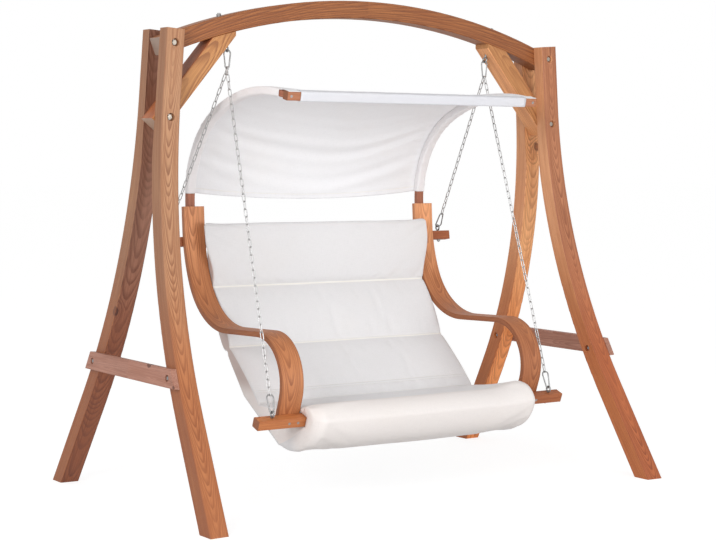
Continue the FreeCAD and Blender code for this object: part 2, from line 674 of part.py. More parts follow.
def sling_wire(x, front_middle, rear_middle, inset):
    """Section of the sling: sitting side down to the roll, round it, and up the back."""
    sitting, under = sling_outline(front_middle, rear_middle, inset)
    crown = SLING_CROWN
    belly = SLING_THICK - SEAM_THICK - SLING_CROWN
    edges = [swollen(x, sitting[i], sitting[i + 1], crown) for i in range(3)]

    def roll(offset):
        """Point of the roll, drawn in towards the bar by the inset."""
        length = math.hypot(*offset)
        share = (length - inset) / length
        return side_view(x, add(front_middle, (offset[0] * share, offset[1] * share)))

    top, low, heel = roll(ROLL_TOP), roll(ROLL_LOW), roll(ROLL_HEEL)
    edges.append(arc(side_view(x, sitting[3]), roll(ROLL_RISE), top))
    edges.append(arc(top, roll(ROLL_BROW), roll(ROLL_FRONT)))
    edges.append(arc(roll(ROLL_FRONT), roll(ROLL_CHIN), low))
    edges.append(arc(low, roll(ROLL_BOTTOM), heel))
    edges.append(line(heel, side_view(x, under[3])))
    edges += [swollen(x, under[i], under[i - 1], belly) for i in (3, 2, 1)]
    edges.append(swollen(x, under[0], sitting[0], SEAM_THICK / 3))
    return Part.Wire(edges)


def build_sling(front_middle, front_tilt, rear_middle, rear_tilt):
    stations = [(-SLING_HALF, SLING_DRAWN_IN), (-SLING_HALF + SLING_END, 0.0),
                (SLING_HALF - SLING_END, 0.0), (SLING_HALF, SLING_DRAWN_IN)]
    wires = [sling_wire(x, front_middle, rear_middle, inset) for x, inset in stations]
    pad = Part.makeLoft(wires, True, True)
    loop_depth = BAR_DEPTH + 2 * (SLEEVE_WALL + CLOTH_GAP)
    loop_height = BAR_HEIGHT + 2 * (SLEEVE_WALL + CLOTH_GAP)
    pad_reach = -SLING_TOP[0] - SEAM_THICK / 2
    loop_middle = add(rear_middle, polar(rear_tilt, (loop_depth / 2 - pad_reach) / 2))
    loop = turned_box(loop_middle, rear_tilt, loop_depth / 2 + pad_reach, loop_height,
                      -SLING_HALF + SLEEVE_WALL, SLING_HALF - SLEEVE_WALL)
    fit = 2 * CLOTH_GAP
    rear_hole = turned_box(rear_middle, rear_tilt, BAR_DEPTH + fit, BAR_HEIGHT + fit, -BIG, BIG)
    front_hole = turned_box(front_middle, front_tilt, BAR_DEPTH + fit, BAR_HEIGHT + fit, -BIG, BIG)
    corners = [side_view(-BIG, add(front_middle, p)) for p in ROLL_HOLLOW + ROLL_HOLLOW[:1]]
    hollow = Part.Face(Part.makePolygon(corners)).extrude(X_AXIS * (2 * BIG))
    return pad.fuse(loop).removeSplitter().cut([rear_hole, front_hole.fuse(hollow)])


# Canopy
def rib_path():
    """Rear and upper side of a rib from its foot, flat against the back of the arm's straight top."""
    heading = 90.0 - ARM_RECLINE
    arm_back = path_point(arm_path()[0], 0.0, ARM_THICK + RIB_THICK)
    foot = add(arm_back, polar(heading, -RIB_LAP))
    return run_path(foot, heading, [(RIB_LAP,), (RIB_BACK_RADIUS, RIB_BACK_TURN),
                                    (RIB_TOP_RADIUS, RIB_TOP_TURN)])


def cloth_path(hem):
    """Upper side of a rib from a hem at a length along its bend, above the arm's top."""
    bend, top = rib_path()[1:]
    skip = math.degrees(hem / RIB_BACK_RADIUS)
    start = path_point(bend, skip / bend["turn"], 0.0)
    return run_path(start, bend["heading"] + skip, [(RIB_BACK_RADIUS, RIB_BACK_TURN - skip),
                                                    (RIB_TOP_RADIUS, RIB_TOP_TURN)])


def canopy_bar_place():
    """Middle and tilt of the canopy's front bar, against the ribs' front ends."""
    top = rib_path()[-1]
    heading = top["heading"] + top["turn"]
    end = path_point(top, 1.0, CANOPY_BAR / 2 - (CANOPY_BAR - RIB_THICK) / 2)
    return add(end, polar(heading, CANOPY_BAR / 2)), heading


def build_canopy():
    """Sheet over the ribs, hanging a little between them, and its sleeve round the front bar."""
    free = RIB_INNER_X
    wires = []
    for x in (-CANOPY_HALF, -free, -0.75 * free, -0.4 * free, 0.0, 0.4 * free, 0.75 * free, free, CANOPY_HALF):
        droop = max(0.0, 1.0 - (x / free) ** 2)
        inner = -CLOTH_GAP + CANOPY_SAG * droop
        path = cloth_path(CANOPY_HEM_UP - CANOPY_HEM_DROP * droop)
        wires.append(strip_wire(x, path, inner - CLOTH, inner))
    sheet = Part.makeLoft(wires, True, True)

    middle, heading = canopy_bar_place()
    bar_half = RIB_INNER_X - SLEEVE_SHORT
    wall = CANOPY_BAR + 2 * (CLOTH_GAP + CLOTH)
    sleeve = turned_box(middle, heading, wall, wall, -bar_half, bar_half)
    hole = turned_box(middle, heading, CANOPY_BAR + 2 * CLOTH_GAP, CANOPY_BAR + 2 * CLOTH_GAP, -BIG, BIG)
    notches = []
    behind = add(middle, polar(heading + 180.0, CANOPY_NOTCH / 2))
    for _, side in SIDES:
        x0, x1 = sorted((side * bar_half, side * BIG))
        notches.append(turned_box(behind, heading, CANOPY_NOTCH + CANOPY_BAR, BIG / 10, x0, x1))
    return sheet.cut(notches).fuse(sleeve).removeSplitter().cut(hole)


# Carabiners and chains
def hook_points():
    """Middle line of a carabiner in its own plane: across, along; the gate is on the + side."""
    span = HOOK_LENGTH - HOOK_WIRE - HOOK_WIDE_RADIUS - HOOK_NARROW_RADIUS
    tilt = math.asin((HOOK_WIDE_RADIUS - HOOK_NARROW_RADIUS) / span)
    low = (0.0, HOOK_NARROW_RADIUS)
    high = (0.0, HOOK_NARROW_RADIUS + span)
    out = (math.cos(tilt), -math.sin(tilt))
    return {
        "tilt": tilt,
        "low_right": (low[0] + out[0] * HOOK_NARROW_RADIUS, low[1] + out[1] * HOOK_NARROW_RADIUS),
        "high_right": (high[0] + out[0] * HOOK_WIDE_RADIUS, high[1] + out[1] * HOOK_WIDE_RADIUS),
        "low_end": (0.0, 0.0),
        "high_end": (0.0, HOOK_LENGTH - HOOK_WIRE),
        "side": span * math.cos(tilt),
        "along": (math.sin(tilt), math.cos(tilt)),
    }


def in_plane(p):
    return Vector(p[0], 0, p[1])


def build_hook():
    """Hook, gate and pin of a carabiner in its own plane X-Z, narrow end at the origin."""
    p = hook_points()
    along = in_plane(p["along"])
    low, high = in_plane(p["low_right"]), in_plane(p["high_right"])
    low_left, high_left = Vector(-low.x, 0, low.z), Vector(-high.x, 0, high.z)
    nose = high - along * HOOK_NOSE
    stub_end = GATE_PIVOT + HOOK_WIRE / 2 + GATE_GAP
    stub = low + along * stub_end
    path = Part.Wire([
        line(nose, high), arc(high, in_plane(p["high_end"]), high_left), line(high_left, low_left),
        arc(low_left, in_plane(p["low_end"]), low), line(low, stub)])
    section = Part.Wire(Part.makeCircle(HOOK_WIRE / 2, nose, along))
    hook = path.makePipeShell([section], True, False)

    pivot = low + along * GATE_PIVOT
    across = along.cross(Y_AXIS)
    slot_half = GATE_TONGUE / 2 + SLOT_CLEARANCE
    tongue_end = GATE_TONGUE_WIDTH / 2 + GATE_GAP

    def slab(start, end, half_width, half_thick):
        """Flat bar along the gate, from one distance to another from the pivot."""
        corners = [pivot + along * a + across * b for a, b in
                   ((start, -half_width), (end, -half_width), (end, half_width), (start, half_width))]
        outline = Part.makePolygon([c - Y_AXIS * half_thick for c in corners + corners[:1]])
        return Part.Face(outline).extrude(Y_AXIS * (2 * half_thick))

    slot = slab(-tongue_end, HOOK_WIRE, HOOK_WIRE, slot_half)
    pin_hole = rod(pivot - Y_AXIS * HOOK_WIRE, Y_AXIS, GATE_PIN / 2 + PIN_CLEARANCE, 2 * HOOK_WIRE)
    hook = hook.cut([slot, pin_hole])

    rod_start = HOOK_WIRE
    rod_end = p["side"] - HOOK_NOSE - GATE_GAP - GATE_PIVOT
    gate = rod(pivot + along * rod_start, along, GATE_ROD / 2, rod_end - rod_start)
    tongue = slab(0.0, rod_start + GATE_TONGUE, GATE_TONGUE_WIDTH / 2, GATE_TONGUE / 2)
    knuckle = rod(pivot - Y_AXIS * (GATE_TONGUE / 2), Y_AXIS, GATE_TONGUE_WIDTH / 2, GATE_TONGUE)
    gate = gate.fuse([tongue, knuckle]).removeSplitter().cut(pin_hole)
    pin = rod(pivot - Y_AXIS * (HOOK_WIRE / 2), Y_AXIS, GATE_PIN / 2, HOOK_WIRE)
    return hook, gate, pin, pivot


def placed(shape, origin, across, along):
    """Copy of a carabiner piece with its narrow end at the origin."""
    normal = along.cross(across)
    copy = shape.copy()
    matrix = FreeCAD.Matrix(across.x, normal.x, along.x, origin.x, across.y, normal.y, along.y, origin.y,
                            across.z, normal.z, along.z, origin.z, 0, 0, 0, 1)
    copy.Placement = FreeCAD.Placement(matrix)
    return copy


def build_link(inner_length):
    """Welded link round the origin, its length along Z and its flat side facing X."""
    bend = (LINK_INNER_WIDTH + LINK_WIRE) / 2
    straight = (inner_length + LINK_WIRE) / 2 - bend
    ends = [Vector(0, bend, -straight), Vector(0, bend, straight), Vector(0, 0, straight + bend),
            Vector(0, -bend, straight), Vector(0, -bend, -straight), Vector(0, 0, -straight - bend)]
    path = Part.Wire([line(ends[0], ends[1]), arc(ends[1], ends[2], ends[3]), line(ends[3], ends[4]),
                      arc(ends[4], ends[5], ends[0])])
    section = Part.Wire(Part.makeCircle(LINK_WIRE / 2, ends[0], Z_AXIS))
    return path.makePipeShell([section], True, False)


def build_chain(top, bottom, flat, slope):
    """Links between two hook wires, the upper one sloping; the end links face along flat."""
    pull = (bottom - top).normalize()
    distance = (bottom - top).Length
    count = 2 * int(round((distance / LINK_PITCH - 1) / 2)) + 1
    bearing = HOOK_WIRE / 2 + SEAT_GAP
    upper = bearing + LINK_WIRE / 2 * slope
    inner = (distance + upper + bearing + (count - 1) * LINK_GAP) / count
    link = build_link(inner)
    face = (flat - pull * flat.dot(pull)).normalize()
    links = []
    for i in range(count):
        middle = top + pull * (inner / 2 - upper + i * (inner - LINK_GAP))
        normal = face if i % 2 == 0 else pull.cross(face)
        copy = link.copy()
        wide = pull.cross(normal)
        matrix = FreeCAD.Matrix(normal.x, wide.x, pull.x, middle.x, normal.y, wide.y, pull.y, middle.y,
                                normal.z, wide.z, pull.z, middle.z, 0, 0, 0, 1)
        copy.Placement = FreeCAD.Placement(matrix)
        links.append(copy)
    return Part.makeCompound(links), count, inner


def build_hangings(eyes):
    """Upper hooks in the hanger eyes, then chains and lower hooks down to the seat's eyes."""
    hook, gate, pin, pivot = build_hook()
    reach = EYE_RADIUS - EYE_WIRE / 2 - HOOK_WIRE / 2 - SEAT_GAP
    pins = []
    gates = {}
    span = HOOK_LENGTH - HOOK_WIRE

    def hang(name, origin, across, along):
        nodes["carabiner_" + name] = placed(hook, origin, across, along)
        nodes["gate_" + name] = placed(gate, origin, across, along)
        pins.append(placed(pin, origin, across, along))
        middle = origin + across * pivot.x + along * pivot.z
        gates[name] = (middle, across.cross(along))

    for name, side in SIDES:
        ring = hanger_ring(side)
        axis = hanger_axis(side)[0]
        wire = ring - axis * EYE_RADIUS + Z_AXIS * (EYE_WIRE / 2 + HOOK_WIRE / 2 + SEAT_GAP)
        outwards = X_AXIS * side
        bottom = wire - Z_AXIS * span
        hang("upper_" + name, bottom, outwards, Z_AXIS)
        for place, shift in (("front", CHAIN_APART), ("rear", -CHAIN_APART)):
            eye = eyes["{}_{}".format(place, name)]["ring"]
            rise = HOOK_NARROW_RADIUS - math.sqrt(HOOK_NARROW_RADIUS ** 2 - shift ** 2)
            top = bottom + outwards * shift + Z_AXIS * rise
            up = (top - eye).normalize()
            across = (outwards - up * outwards.dot(up)).normalize()
            hold = eye + up * reach
            far = hold + up * span
            if place == "front":
                hang("front_" + name, hold, across, up)
            else:
                hang("rear_" + name, far, across, -up)
            slope = shift / (HOOK_NARROW_RADIUS - rise)
            chain, count, inner = build_chain(top, far, X_AXIS, abs(slope))
            nodes["chain_{}_{}".format(place, name)] = chain
            print("chain", place, name, "links", count, "inner length", round(inner, 2))
        print("hinge", name, [round(c, 3) for c in wire])
    nodes["gate_pins"] = Part.makeCompound(pins)
    for name, (middle, axis) in gates.items():
        print("gate", name, [round(c, 3) for c in middle], [round(c, 5) for c in axis])


def main():
    build_frame()
    eyes = build_seat()
    build_hangings(eyes)
    os.makedirs("parts", exist_ok=True)
    for name, shape in nodes.items():
        if not shape.isValid():
            print("invalid", name)
        shape.exportStep(os.path.join("parts", name + ".step"))
    print("nodes", len(nodes))


main()
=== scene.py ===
"""Looks of the canopy garden swing: oiled larch, zinc-plated fittings, a padded sling and a cloth roof.

Metres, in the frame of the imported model: +Z up, the front towards -Y.
"""
import math
import bmesh
import bpy
import numpy as np
from mathutils import Matrix, Vector, noise


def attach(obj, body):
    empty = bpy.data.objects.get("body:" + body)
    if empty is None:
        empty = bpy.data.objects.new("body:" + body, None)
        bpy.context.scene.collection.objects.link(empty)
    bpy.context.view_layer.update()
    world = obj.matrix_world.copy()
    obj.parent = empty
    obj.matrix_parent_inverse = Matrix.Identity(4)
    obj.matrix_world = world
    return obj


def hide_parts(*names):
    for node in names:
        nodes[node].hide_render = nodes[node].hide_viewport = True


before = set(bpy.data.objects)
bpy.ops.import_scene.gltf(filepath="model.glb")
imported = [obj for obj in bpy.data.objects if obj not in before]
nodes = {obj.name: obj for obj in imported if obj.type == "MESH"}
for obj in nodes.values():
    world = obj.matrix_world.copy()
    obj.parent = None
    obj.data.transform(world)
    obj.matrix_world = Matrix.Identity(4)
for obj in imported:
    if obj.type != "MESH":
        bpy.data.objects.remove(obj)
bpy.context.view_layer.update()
scene = bpy.context.scene

# Frame
HEIGHT = 2.050
LEG_FLOOR_X = 1.086
LEAN_TAN = math.tan(math.radians(4.12))
ARCH_RADIUS = 2.670
ARCH_REACH = 0.9906
BRACE_SLOPE = 49.85
BRACE_BOLT_Z = 1.546
BRACE_FOOT = -0.0216

# Seat: bars and seams as (Y, Z), half lengths along X
ARM_X = 0.607
BAR_HALF = 0.768
FRONT_BAR = (-0.41130, 0.35713)
FRONT_TILT = 20.0
REAR_BAR = (0.40959, 1.02481)
REAR_TILT = -8.73
SLING_HALF = 0.554
REAR_SLEEVE_HALF = 0.549
SEAMS = [(0.3096, 1.0968), (0.3036, 0.8348), (0.1576, 0.5928), (-0.0783, 0.3811)]
SEAM_THICK = 0.042
UNDER_SEAT = (0.034, 0.386)
# How far the panels swell above and below, from the top of the back to the seat
CROWNS = (0.014, 0.014, 0.007)
BELLIES = (0.013, 0.025, 0.006)
# A row sewn across the seat before its last seam, and the steps of the outline up to it
SEAT_ROW = 0.060
SEAT_STEPS = 36
# Lengths over which the left and right ends close, and the left end's underside
END_TAPERS = (0.045, 0.010)
LOW_TAPER = 0.014
# How much wider the back is on the left and right, above a height and coming in over another
TOP_SPREADS = (0.038, 0.022)
SPREAD_FROM = 0.87
SPREAD_OVER = 0.17
# The roll's middle lies lower, up to this place on the right and coming in over this length
SUNK_TO = 0.53
SUNK_OVER = 0.17
# How deep seams and the row are tucked in, how far from a seam and an end the cloth is held, and its stitches
SEAM_DEPTH = 0.0040
ROW_DEPTH = 0.0018
SEAM_HELD = 0.0045
END_HELD = 0.003
STITCH_OFFSET = 0.006
# The simulated swelling: its frames, how far a point may move, and spare cloth
SWELL_FRAMES = 14
SWELL_CAP = 0.006
SWELL_FULLNESS = 0.006
# Parts of the outline that are named, counted from the top of the back over the roll and along the underside
SEAT, BROW, CHIN, BOTTOM, LOWER_BACK, UPPER_BACK, TOP_EDGE = 2, 4, 5, 6, 9, 10, 11
# The front roll about its bar: top, brow, front, chin, low, bottom, heel and rise, in its middle, beside its ends
# and where an end is drawn in
ROLL_MIDDLE = ((-0.012, 0.053), (-0.090, 0.042), (-0.123, 0.004), (-0.090, -0.060), (0.0, -0.119), (0.095, -0.145),
               (0.190, -0.128), (0.130, 0.029))
ROLL = ((-0.012, 0.079), (-0.092, 0.058), (-0.123, 0.010), (-0.090, -0.060), (0.0, -0.119), (0.095, -0.145),
        (0.190, -0.128), (0.130, 0.050))
ROLL_END = ((-0.012, 0.051), (-0.046, 0.037), (-0.056, 0.002), (-0.030, -0.040), (0.012, -0.054), (0.080, -0.090),
            (0.176, -0.128), (0.130, 0.029))
# Corners of the hollow behind the bar, about it, and half the hole that closes round the bar
HOLLOW = ((0.014, 0.036), (0.132, 0.018), (0.240, -0.012), (0.198, -0.097), (0.097, -0.118), (0.004, -0.088),
          (-0.018, -0.033), (-0.034, 0.014))
BAR_HOLE = (0.0255, 0.0230)

# Canopy: the roof runs from its hem up the ribs and over the bar
RIB_INNER = 0.5895
RIB_OUTER = 0.6245
RIB_FOOT = 0.092
CANOPY_HALF = 0.622
CANOPY_BAR = (-0.39025, 1.63201)
CANOPY_HEADING = 193.0
SLEEVE_HALF = 0.5655
HEM_RISE = 0.060
HEM_DROOP = 0.030
ROOF_LIFT = 0.0015
BAR_STEP = 0.0055
BAR_LAP = 0.036
BAR_REACH = 0.030
BAR_RAMP = 0.028
SAG = 0.024
SWAG = 0.0026
GATHER = 0.0026


# Paths in a member's plane: as (Y, Z), or as (X, Z) for the arch
def polar(angle, length=1.0):
    a = math.radians(angle)
    return np.array((math.cos(a), math.sin(a))) * length


def run_path(start, heading, moves):
    """Lines (length,) and arcs (radius, turn) from a start; turns are anticlockwise."""
    pieces, point, s = [], np.array(start, float), 0.0
    for move in moves:
        piece = {"point": point, "heading": heading, "s": s}
        if len(move) == 1:
            piece["length"] = move[0]
            point = point + polar(heading, move[0])
        else:
            radius, turn = move
            side = math.copysign(1.0, turn)
            centre = point + polar(heading + 90, side * radius)
            piece.update(length=radius * math.radians(abs(turn)), radius=radius, side=side, centre=centre, turn=turn)
            heading += turn
            point = centre + polar(heading + 90, -side * radius)
        s += piece["length"]
        pieces.append(piece)
    return pieces


def path_at(pieces, s, offset):
    """Point at a length along a path, offset to the left of it."""
    piece = next((p for p in pieces if s <= p["s"] + p["length"]), pieces[-1])
    run = s - piece["s"]
    if "radius" not in piece:
        return piece["point"] + polar(piece["heading"], run) + polar(piece["heading"] + 90, offset)
    heading = piece["heading"] + piece["side"] * math.degrees(run / piece["radius"])
    reach = piece["radius"] - piece["side"] * offset
    return piece["centre"] + polar(heading + 90, -piece["side"] * reach)


def path_length(pieces):
    return pieces[-1]["s"] + pieces[-1]["length"]


LEG_PATH = run_path((-0.067, 1.8979), -90, [(0.2619,), (2.4, -31.0), (0.47,)])
ARM_PATH = run_path((0.378, 1.178), -94, [(0.095,), (0.63, -20), (0.31, -68), (0.25,), (0.195, 112), (0.116,)])
RIB_PATH = run_path((0.41947, 1.08288), 86, [(RIB_FOOT,), (0.42, 67), (0.845, 40)])
ARCH_START = 1.1
ARCH_PATH = run_path((-ARCH_START, HEIGHT - ARCH_RADIUS + math.sqrt(ARCH_RADIUS ** 2 - ARCH_START ** 2)),
                     math.degrees(math.asin(ARCH_START / ARCH_RADIUS)), [(ARCH_RADIUS, -50.0)])


# Materials
class Graph:
    """A material's nodes, with short names for what is used often."""

    def __init__(self, name):
        self.material = bpy.data.materials.new(name)
        self.material.use_nodes = True
        self.tree = self.material.node_tree
        self.shader = self.tree.nodes["Principled BSDF"]

    def node(self, kind, *inputs, **settings):
        made = self.tree.nodes.new("ShaderNode" + kind)
        for key, value in settings.items():
            setattr(made, key, value)
        for socket, value in zip(made.inputs, inputs):
            self.feed(socket, value)
        return made

    def feed(self, socket, value):
        if isinstance(value, bpy.types.NodeSocket):
            self.tree.links.new(value, socket)
        elif value is not None:
            socket.default_value = value

    def math(self, operation, *values):
        return self.node("Math", *values, operation=operation).outputs[0]

    def product(self, first, *others):
        for other in others:
            first = self.math("MULTIPLY", first, other)
        return first

    def xyz(self, *values):
        return self.node("CombineXYZ", *values).outputs[0]

    def split(self, vector):
        return self.node("SeparateXYZ", vector).outputs[:3]

    def position(self):
        return self.split(self.node("TexCoord").outputs["Object"])

    def noise(self, vector, scale=1.0, detail=2.0, roughness=0.5):
        made = self.node("TexNoise")
        for key, value in (("Vector", vector), ("Scale", scale), ("Detail", detail), ("Roughness", roughness)):
            self.feed(made.inputs[key], value)
        return made.outputs[0]

    def fit(self, value, low, high, to_low=0.0, to_high=1.0, kind="SMOOTHSTEP"):
        made = self.node("MapRange", interpolation_type=kind)
        for socket, v in zip(made.inputs[:5], (value, low, high, to_low, to_high)):
            self.feed(socket, v)
        return made.outputs[0]

    def mix(self, share, a, b, blend="MIX"):
        made = self.node("Mix", data_type="RGBA", blend_type=blend)
        self.feed(made.inputs[0], share)
        for socket, v in zip(made.inputs[6:8], (a, b)):
            self.feed(socket, v)
        return made.outputs[2]

    def choose(self, share, a, b):
        made = self.node("Mix", data_type="FLOAT")
        for socket, v in zip((made.inputs[0], made.inputs[2], made.inputs[3]), (share, a, b)):
            self.feed(socket, v)
        return made.outputs[0]

    def bump(self, height, distance, strength):
        made = self.node("Bump")
        for key, value in (("Strength", strength), ("Distance", distance), ("Height", height)):
            self.feed(made.inputs[key], value)
        self.feed(self.shader.inputs["Normal"], made.outputs[0])

    def put(self, **sockets):
        for key, value in sockets.items():
            self.feed(self.shader.inputs[key.replace("_", " ")], value)
        return self.material


def srgb(r, g, b):
    def linear(c):
        c /= 255
        return c / 12.92 if c <= 0.04045 else ((c + 0.055) / 1.055) ** 2.4
    return (linear(r), linear(g), linear(b), 1.0)


# How far from a member's end its end grain still shows
END_SKIN = 0.0006


def follow(g, pieces, u, v):
    """Nodes for the distance beside a path and along it, at a point of the path's plane."""
    beside = along = None
    for piece in pieces:
        t, n = polar(piece["heading"]), polar(piece["heading"] + 90)

        def dot(origin, axis):
            shifted = g.math("MULTIPLY_ADD", u, axis[0], -float(origin @ axis))
            return g.math("MULTIPLY_ADD", v, axis[1], shifted)

        if "radius" in piece:
            middle = piece["heading"] + piece["turn"] / 2
            ahead = dot(piece["centre"], polar(middle))
            out = dot(piece["centre"], polar(middle + 90, -piece["side"]))
            reach = g.math("SQRT", g.math("MULTIPLY_ADD", ahead, ahead, g.math("MULTIPLY", out, out)))
            here = g.math("MULTIPLY_ADD", reach, -piece["side"], piece["side"] * piece["radius"])
            run = g.math("MULTIPLY_ADD", g.math("ARCTAN2", ahead, out), piece["radius"],
                         piece["s"] + piece["length"] / 2)
        else:
            here = dot(piece["point"], n)
            run = g.math("ADD", dot(piece["point"], t), piece["s"])
        if beside is None:
            beside, along = here, run
        else:
            passed = g.math("GREATER_THAN", dot(piece["point"], t), 0.0)
            beside = g.choose(passed, beside, here)
            along = g.choose(passed, along, run)
    return beside, along


def larch(name, place, tone, pith, spacing=0.0040, taper=0.032, layer=0.0, ends=None, end_tone=(122, 78, 56),
          painted_light_and_shade=(), low=(1.15, 0.45), edge=None):
    """Oiled larch whose grain runs along a member; place gives the nodes (beside, wide, along).

    tone is its pale wood, pith the middle of the growth rings, spacing and taper the rings' width and how they run
    out along the member, layer the thickness of glued layers, ends the lengths along the member where end grain
    shows, and edge the half width at whose edges oil has darkened it. The tint list is painted light and shade: each
    tint lightens or darkens the members or faces that its words name together, by side, by where a face points and
    by height, as the light fell; low is the height where the low tint starts and where it is full.
    """
    g = Graph(name)
    x, y, z = g.position()
    beside, wide, along = place(g, x, y, z)
    left, rear = g.math("LESS_THAN", x, 0.0), g.math("GREATER_THAN", y, 0.0)
    seed = g.math("MULTIPLY_ADD", left, 3.7, g.math("MULTIPLY", rear, 1.9))

    def shade(*shares):
        return srgb(*(min(255.0, t * s) for t, s in zip(tone, shares)))

    def field(across, lengthwise, detail, roughness=0.5):
        return g.noise(g.xyz(g.math("MULTIPLY", beside, across), g.math("MULTIPLY", wide, across),
                             g.math("MULTIPLY_ADD", along, lengthwise, seed)), 1.0, detail, roughness)

    knots = g.node("TexVoronoi", voronoi_dimensions="3D", feature="F1")
    g.feed(knots.inputs["Vector"], g.xyz(beside, wide, g.math("MULTIPLY_ADD", along, 0.7, seed)))
    g.feed(knots.inputs["Scale"], 3.6)
    knot = g.math("MULTIPLY_ADD", field(60.0, 60.0, 2.0), 0.03, knots.outputs["Distance"])

    sway = g.math("MULTIPLY_ADD", field(2.5, 1.6, 2.0), 0.050, g.fit(knot, 0.20, 0.03, 0.0, 0.010))
    ring_a = g.math("ADD", beside, g.math("SUBTRACT", sway, pith[0] + 0.025))
    ring_b = g.math("SUBTRACT", wide, pith[1])
    radius = g.math("SQRT", g.math("MULTIPLY_ADD", ring_a, ring_a, g.math("MULTIPLY", ring_b, ring_b)))
    radius = g.math("MULTIPLY_ADD", along, taper, radius)
    uneven = g.noise(g.xyz(radius, seed, 0.0), 130.0, 1.0)
    wobble = field(160.0, 26.0, 2.0)
    turns = g.math("MULTIPLY_ADD", uneven, 1.3, g.math("MULTIPLY_ADD", wobble, 0.22, g.math("DIVIDE", radius, spacing)))
    phase = g.math("FRACT", turns)
    late = g.math("MULTIPLY", g.fit(phase, 0.30, 0.88), g.fit(phase, 1.0, 0.93))
    late = g.math("MULTIPLY", late, g.fit(field(14.0, 2.5, 2.0), 0.32, 0.62, 0.30, 0.90))

    fibre = field(720.0, 14.0, 3.0, 0.62)
    streak = field(110.0, 3.0, 3.0)
    patch = field(5.0, 2.4, 3.0)

    colour = g.mix(late, srgb(*tone), shade(0.68, 0.58, 0.51))
    colour = g.mix(g.fit(streak, 0.42, 0.72, 0.0, 0.70), colour, shade(0.80, 0.71, 0.64))
    colour = g.mix(g.fit(streak, 0.42, 0.25, 0.0, 0.50), colour, shade(1.07, 1.10, 1.12))
    colour = g.mix(g.fit(fibre, 0.42, 0.80, 0.0, 0.55), colour, shade(0.62, 0.51, 0.45))
    colour = g.mix(g.fit(patch, 0.40, 0.75, 0.0, 0.50), colour, shade(0.89, 0.82, 0.77))
    if layer:
        share = g.math("ABSOLUTE", g.math("SUBTRACT", g.math("FRACT", g.math("DIVIDE", beside, layer)), 0.5))
        colour = g.mix(g.fit(share, 0.10, 0.02, 0.0, 0.55), colour, shade(0.52, 0.42, 0.38))
    colour = g.mix(g.fit(knot, 0.075, 0.058, 0.0, 0.85), colour, shade(0.46, 0.35, 0.30))
    colour = g.mix(g.fit(knot, 0.050, 0.036, 0.0, 0.80), colour, shade(0.66, 0.54, 0.46))
    if edge:
        worn = g.fit(g.math("ABSOLUTE", wide), edge - 0.007, edge, 0.0, 0.45)
        colour = g.mix(worn, colour, shade(0.62, 0.52, 0.48))
    if painted_light_and_shade:
        # Painted light and shade: lighter or darker by side, by where a face points and by height
        sideways, ahead, upward = g.split(g.node("NewGeometry").outputs["Normal"])
        where = {"left": lambda: left, "right": lambda: g.math("SUBTRACT", 1.0, left),
                 "rear": lambda: rear, "front": lambda: g.math("SUBTRACT", 1.0, rear),
                 "leftward": lambda: g.math("LESS_THAN", sideways, -0.5),
                 "forward": lambda: g.math("LESS_THAN", ahead, -0.5),
                 "upward": lambda: g.math("GREATER_THAN", upward, 0.3),
                 "downward": lambda: g.math("LESS_THAN", upward, -0.3),
                 "low": lambda: g.fit(z, *low), "tall": lambda: g.fit(z, 0.7, 1.2),
                 "over": lambda: g.fit(z, 0.75, 0.95), "under": lambda: g.fit(z, 0.75, 0.60)}
    # Each tint multiplies in painted light or shade where all its words hold
    for words, tint in painted_light_and_shade:
        share = g.product(*(where[word]() for word in words.split()))
        colour = g.mix(share, colour, srgb(*tint), "MULTIPLY")
    if ends:
        cut = g.math("MAXIMUM", g.math("LESS_THAN", along, ends[0] + END_SKIN),
                     g.math("GREATER_THAN", along, ends[1] - END_SKIN))
        colour = g.mix(g.math("MULTIPLY", cut, 0.75), colour, srgb(*end_tone))
    height = g.math("MULTIPLY_ADD", fibre, 0.7, g.math("MULTIPLY", late, 0.5))
    g.bump(height, 0.0008, 0.5)
    rough = g.fit(g.math("ADD", fibre, late), 0.3, 1.5, 0.62, 0.46, "LINEAR")
    return g.put(Base_Color=colour, Roughness=rough, Specular_IOR_Level=0.4)


def leg_place(g, x, y, z):
    """A leg, bent to the front or back in a plane that leans inward."""
    flat_y = g.math("MULTIPLY", g.math("ABSOLUTE", y), -1.0)
    beside, along = follow(g, LEG_PATH, flat_y, z)
    wide = g.math("ADD", g.math("ABSOLUTE", x), g.math("MULTIPLY_ADD", z, LEAN_TAN, -LEG_FLOOR_X))
    return beside, wide, along


def side_place(pieces, middle_x):
    """A pair of members, left and right, bent along a path."""
    def place(g, x, y, z):
        beside, along = follow(g, pieces, y, z)
        return beside, g.math("SUBTRACT", g.math("ABSOLUTE", x), middle_x), along
    return place


def arch_place(g, x, y, z):
    beside, along = follow(g, ARCH_PATH, x, z)
    return beside, y, along


def straight_place(direction, across, origin, mirror=False):
    """A straight member: its direction, the direction across its broad face and a point on it; mirror is for a pair."""
    d, a = Vector(direction).normalized(), Vector(across).normalized()
    w = d.cross(a)

    def place(g, x, y, z):
        if mirror:
            x = g.math("ABSOLUTE", x)

        def dot(axis):
            value = g.math("MULTIPLY_ADD", x, axis[0], -Vector(origin).dot(axis))
            return g.math("MULTIPLY_ADD", z, axis[2], g.math("MULTIPLY_ADD", y, axis[1], value))
        return dot(a), dot(w), dot(d)
    return place


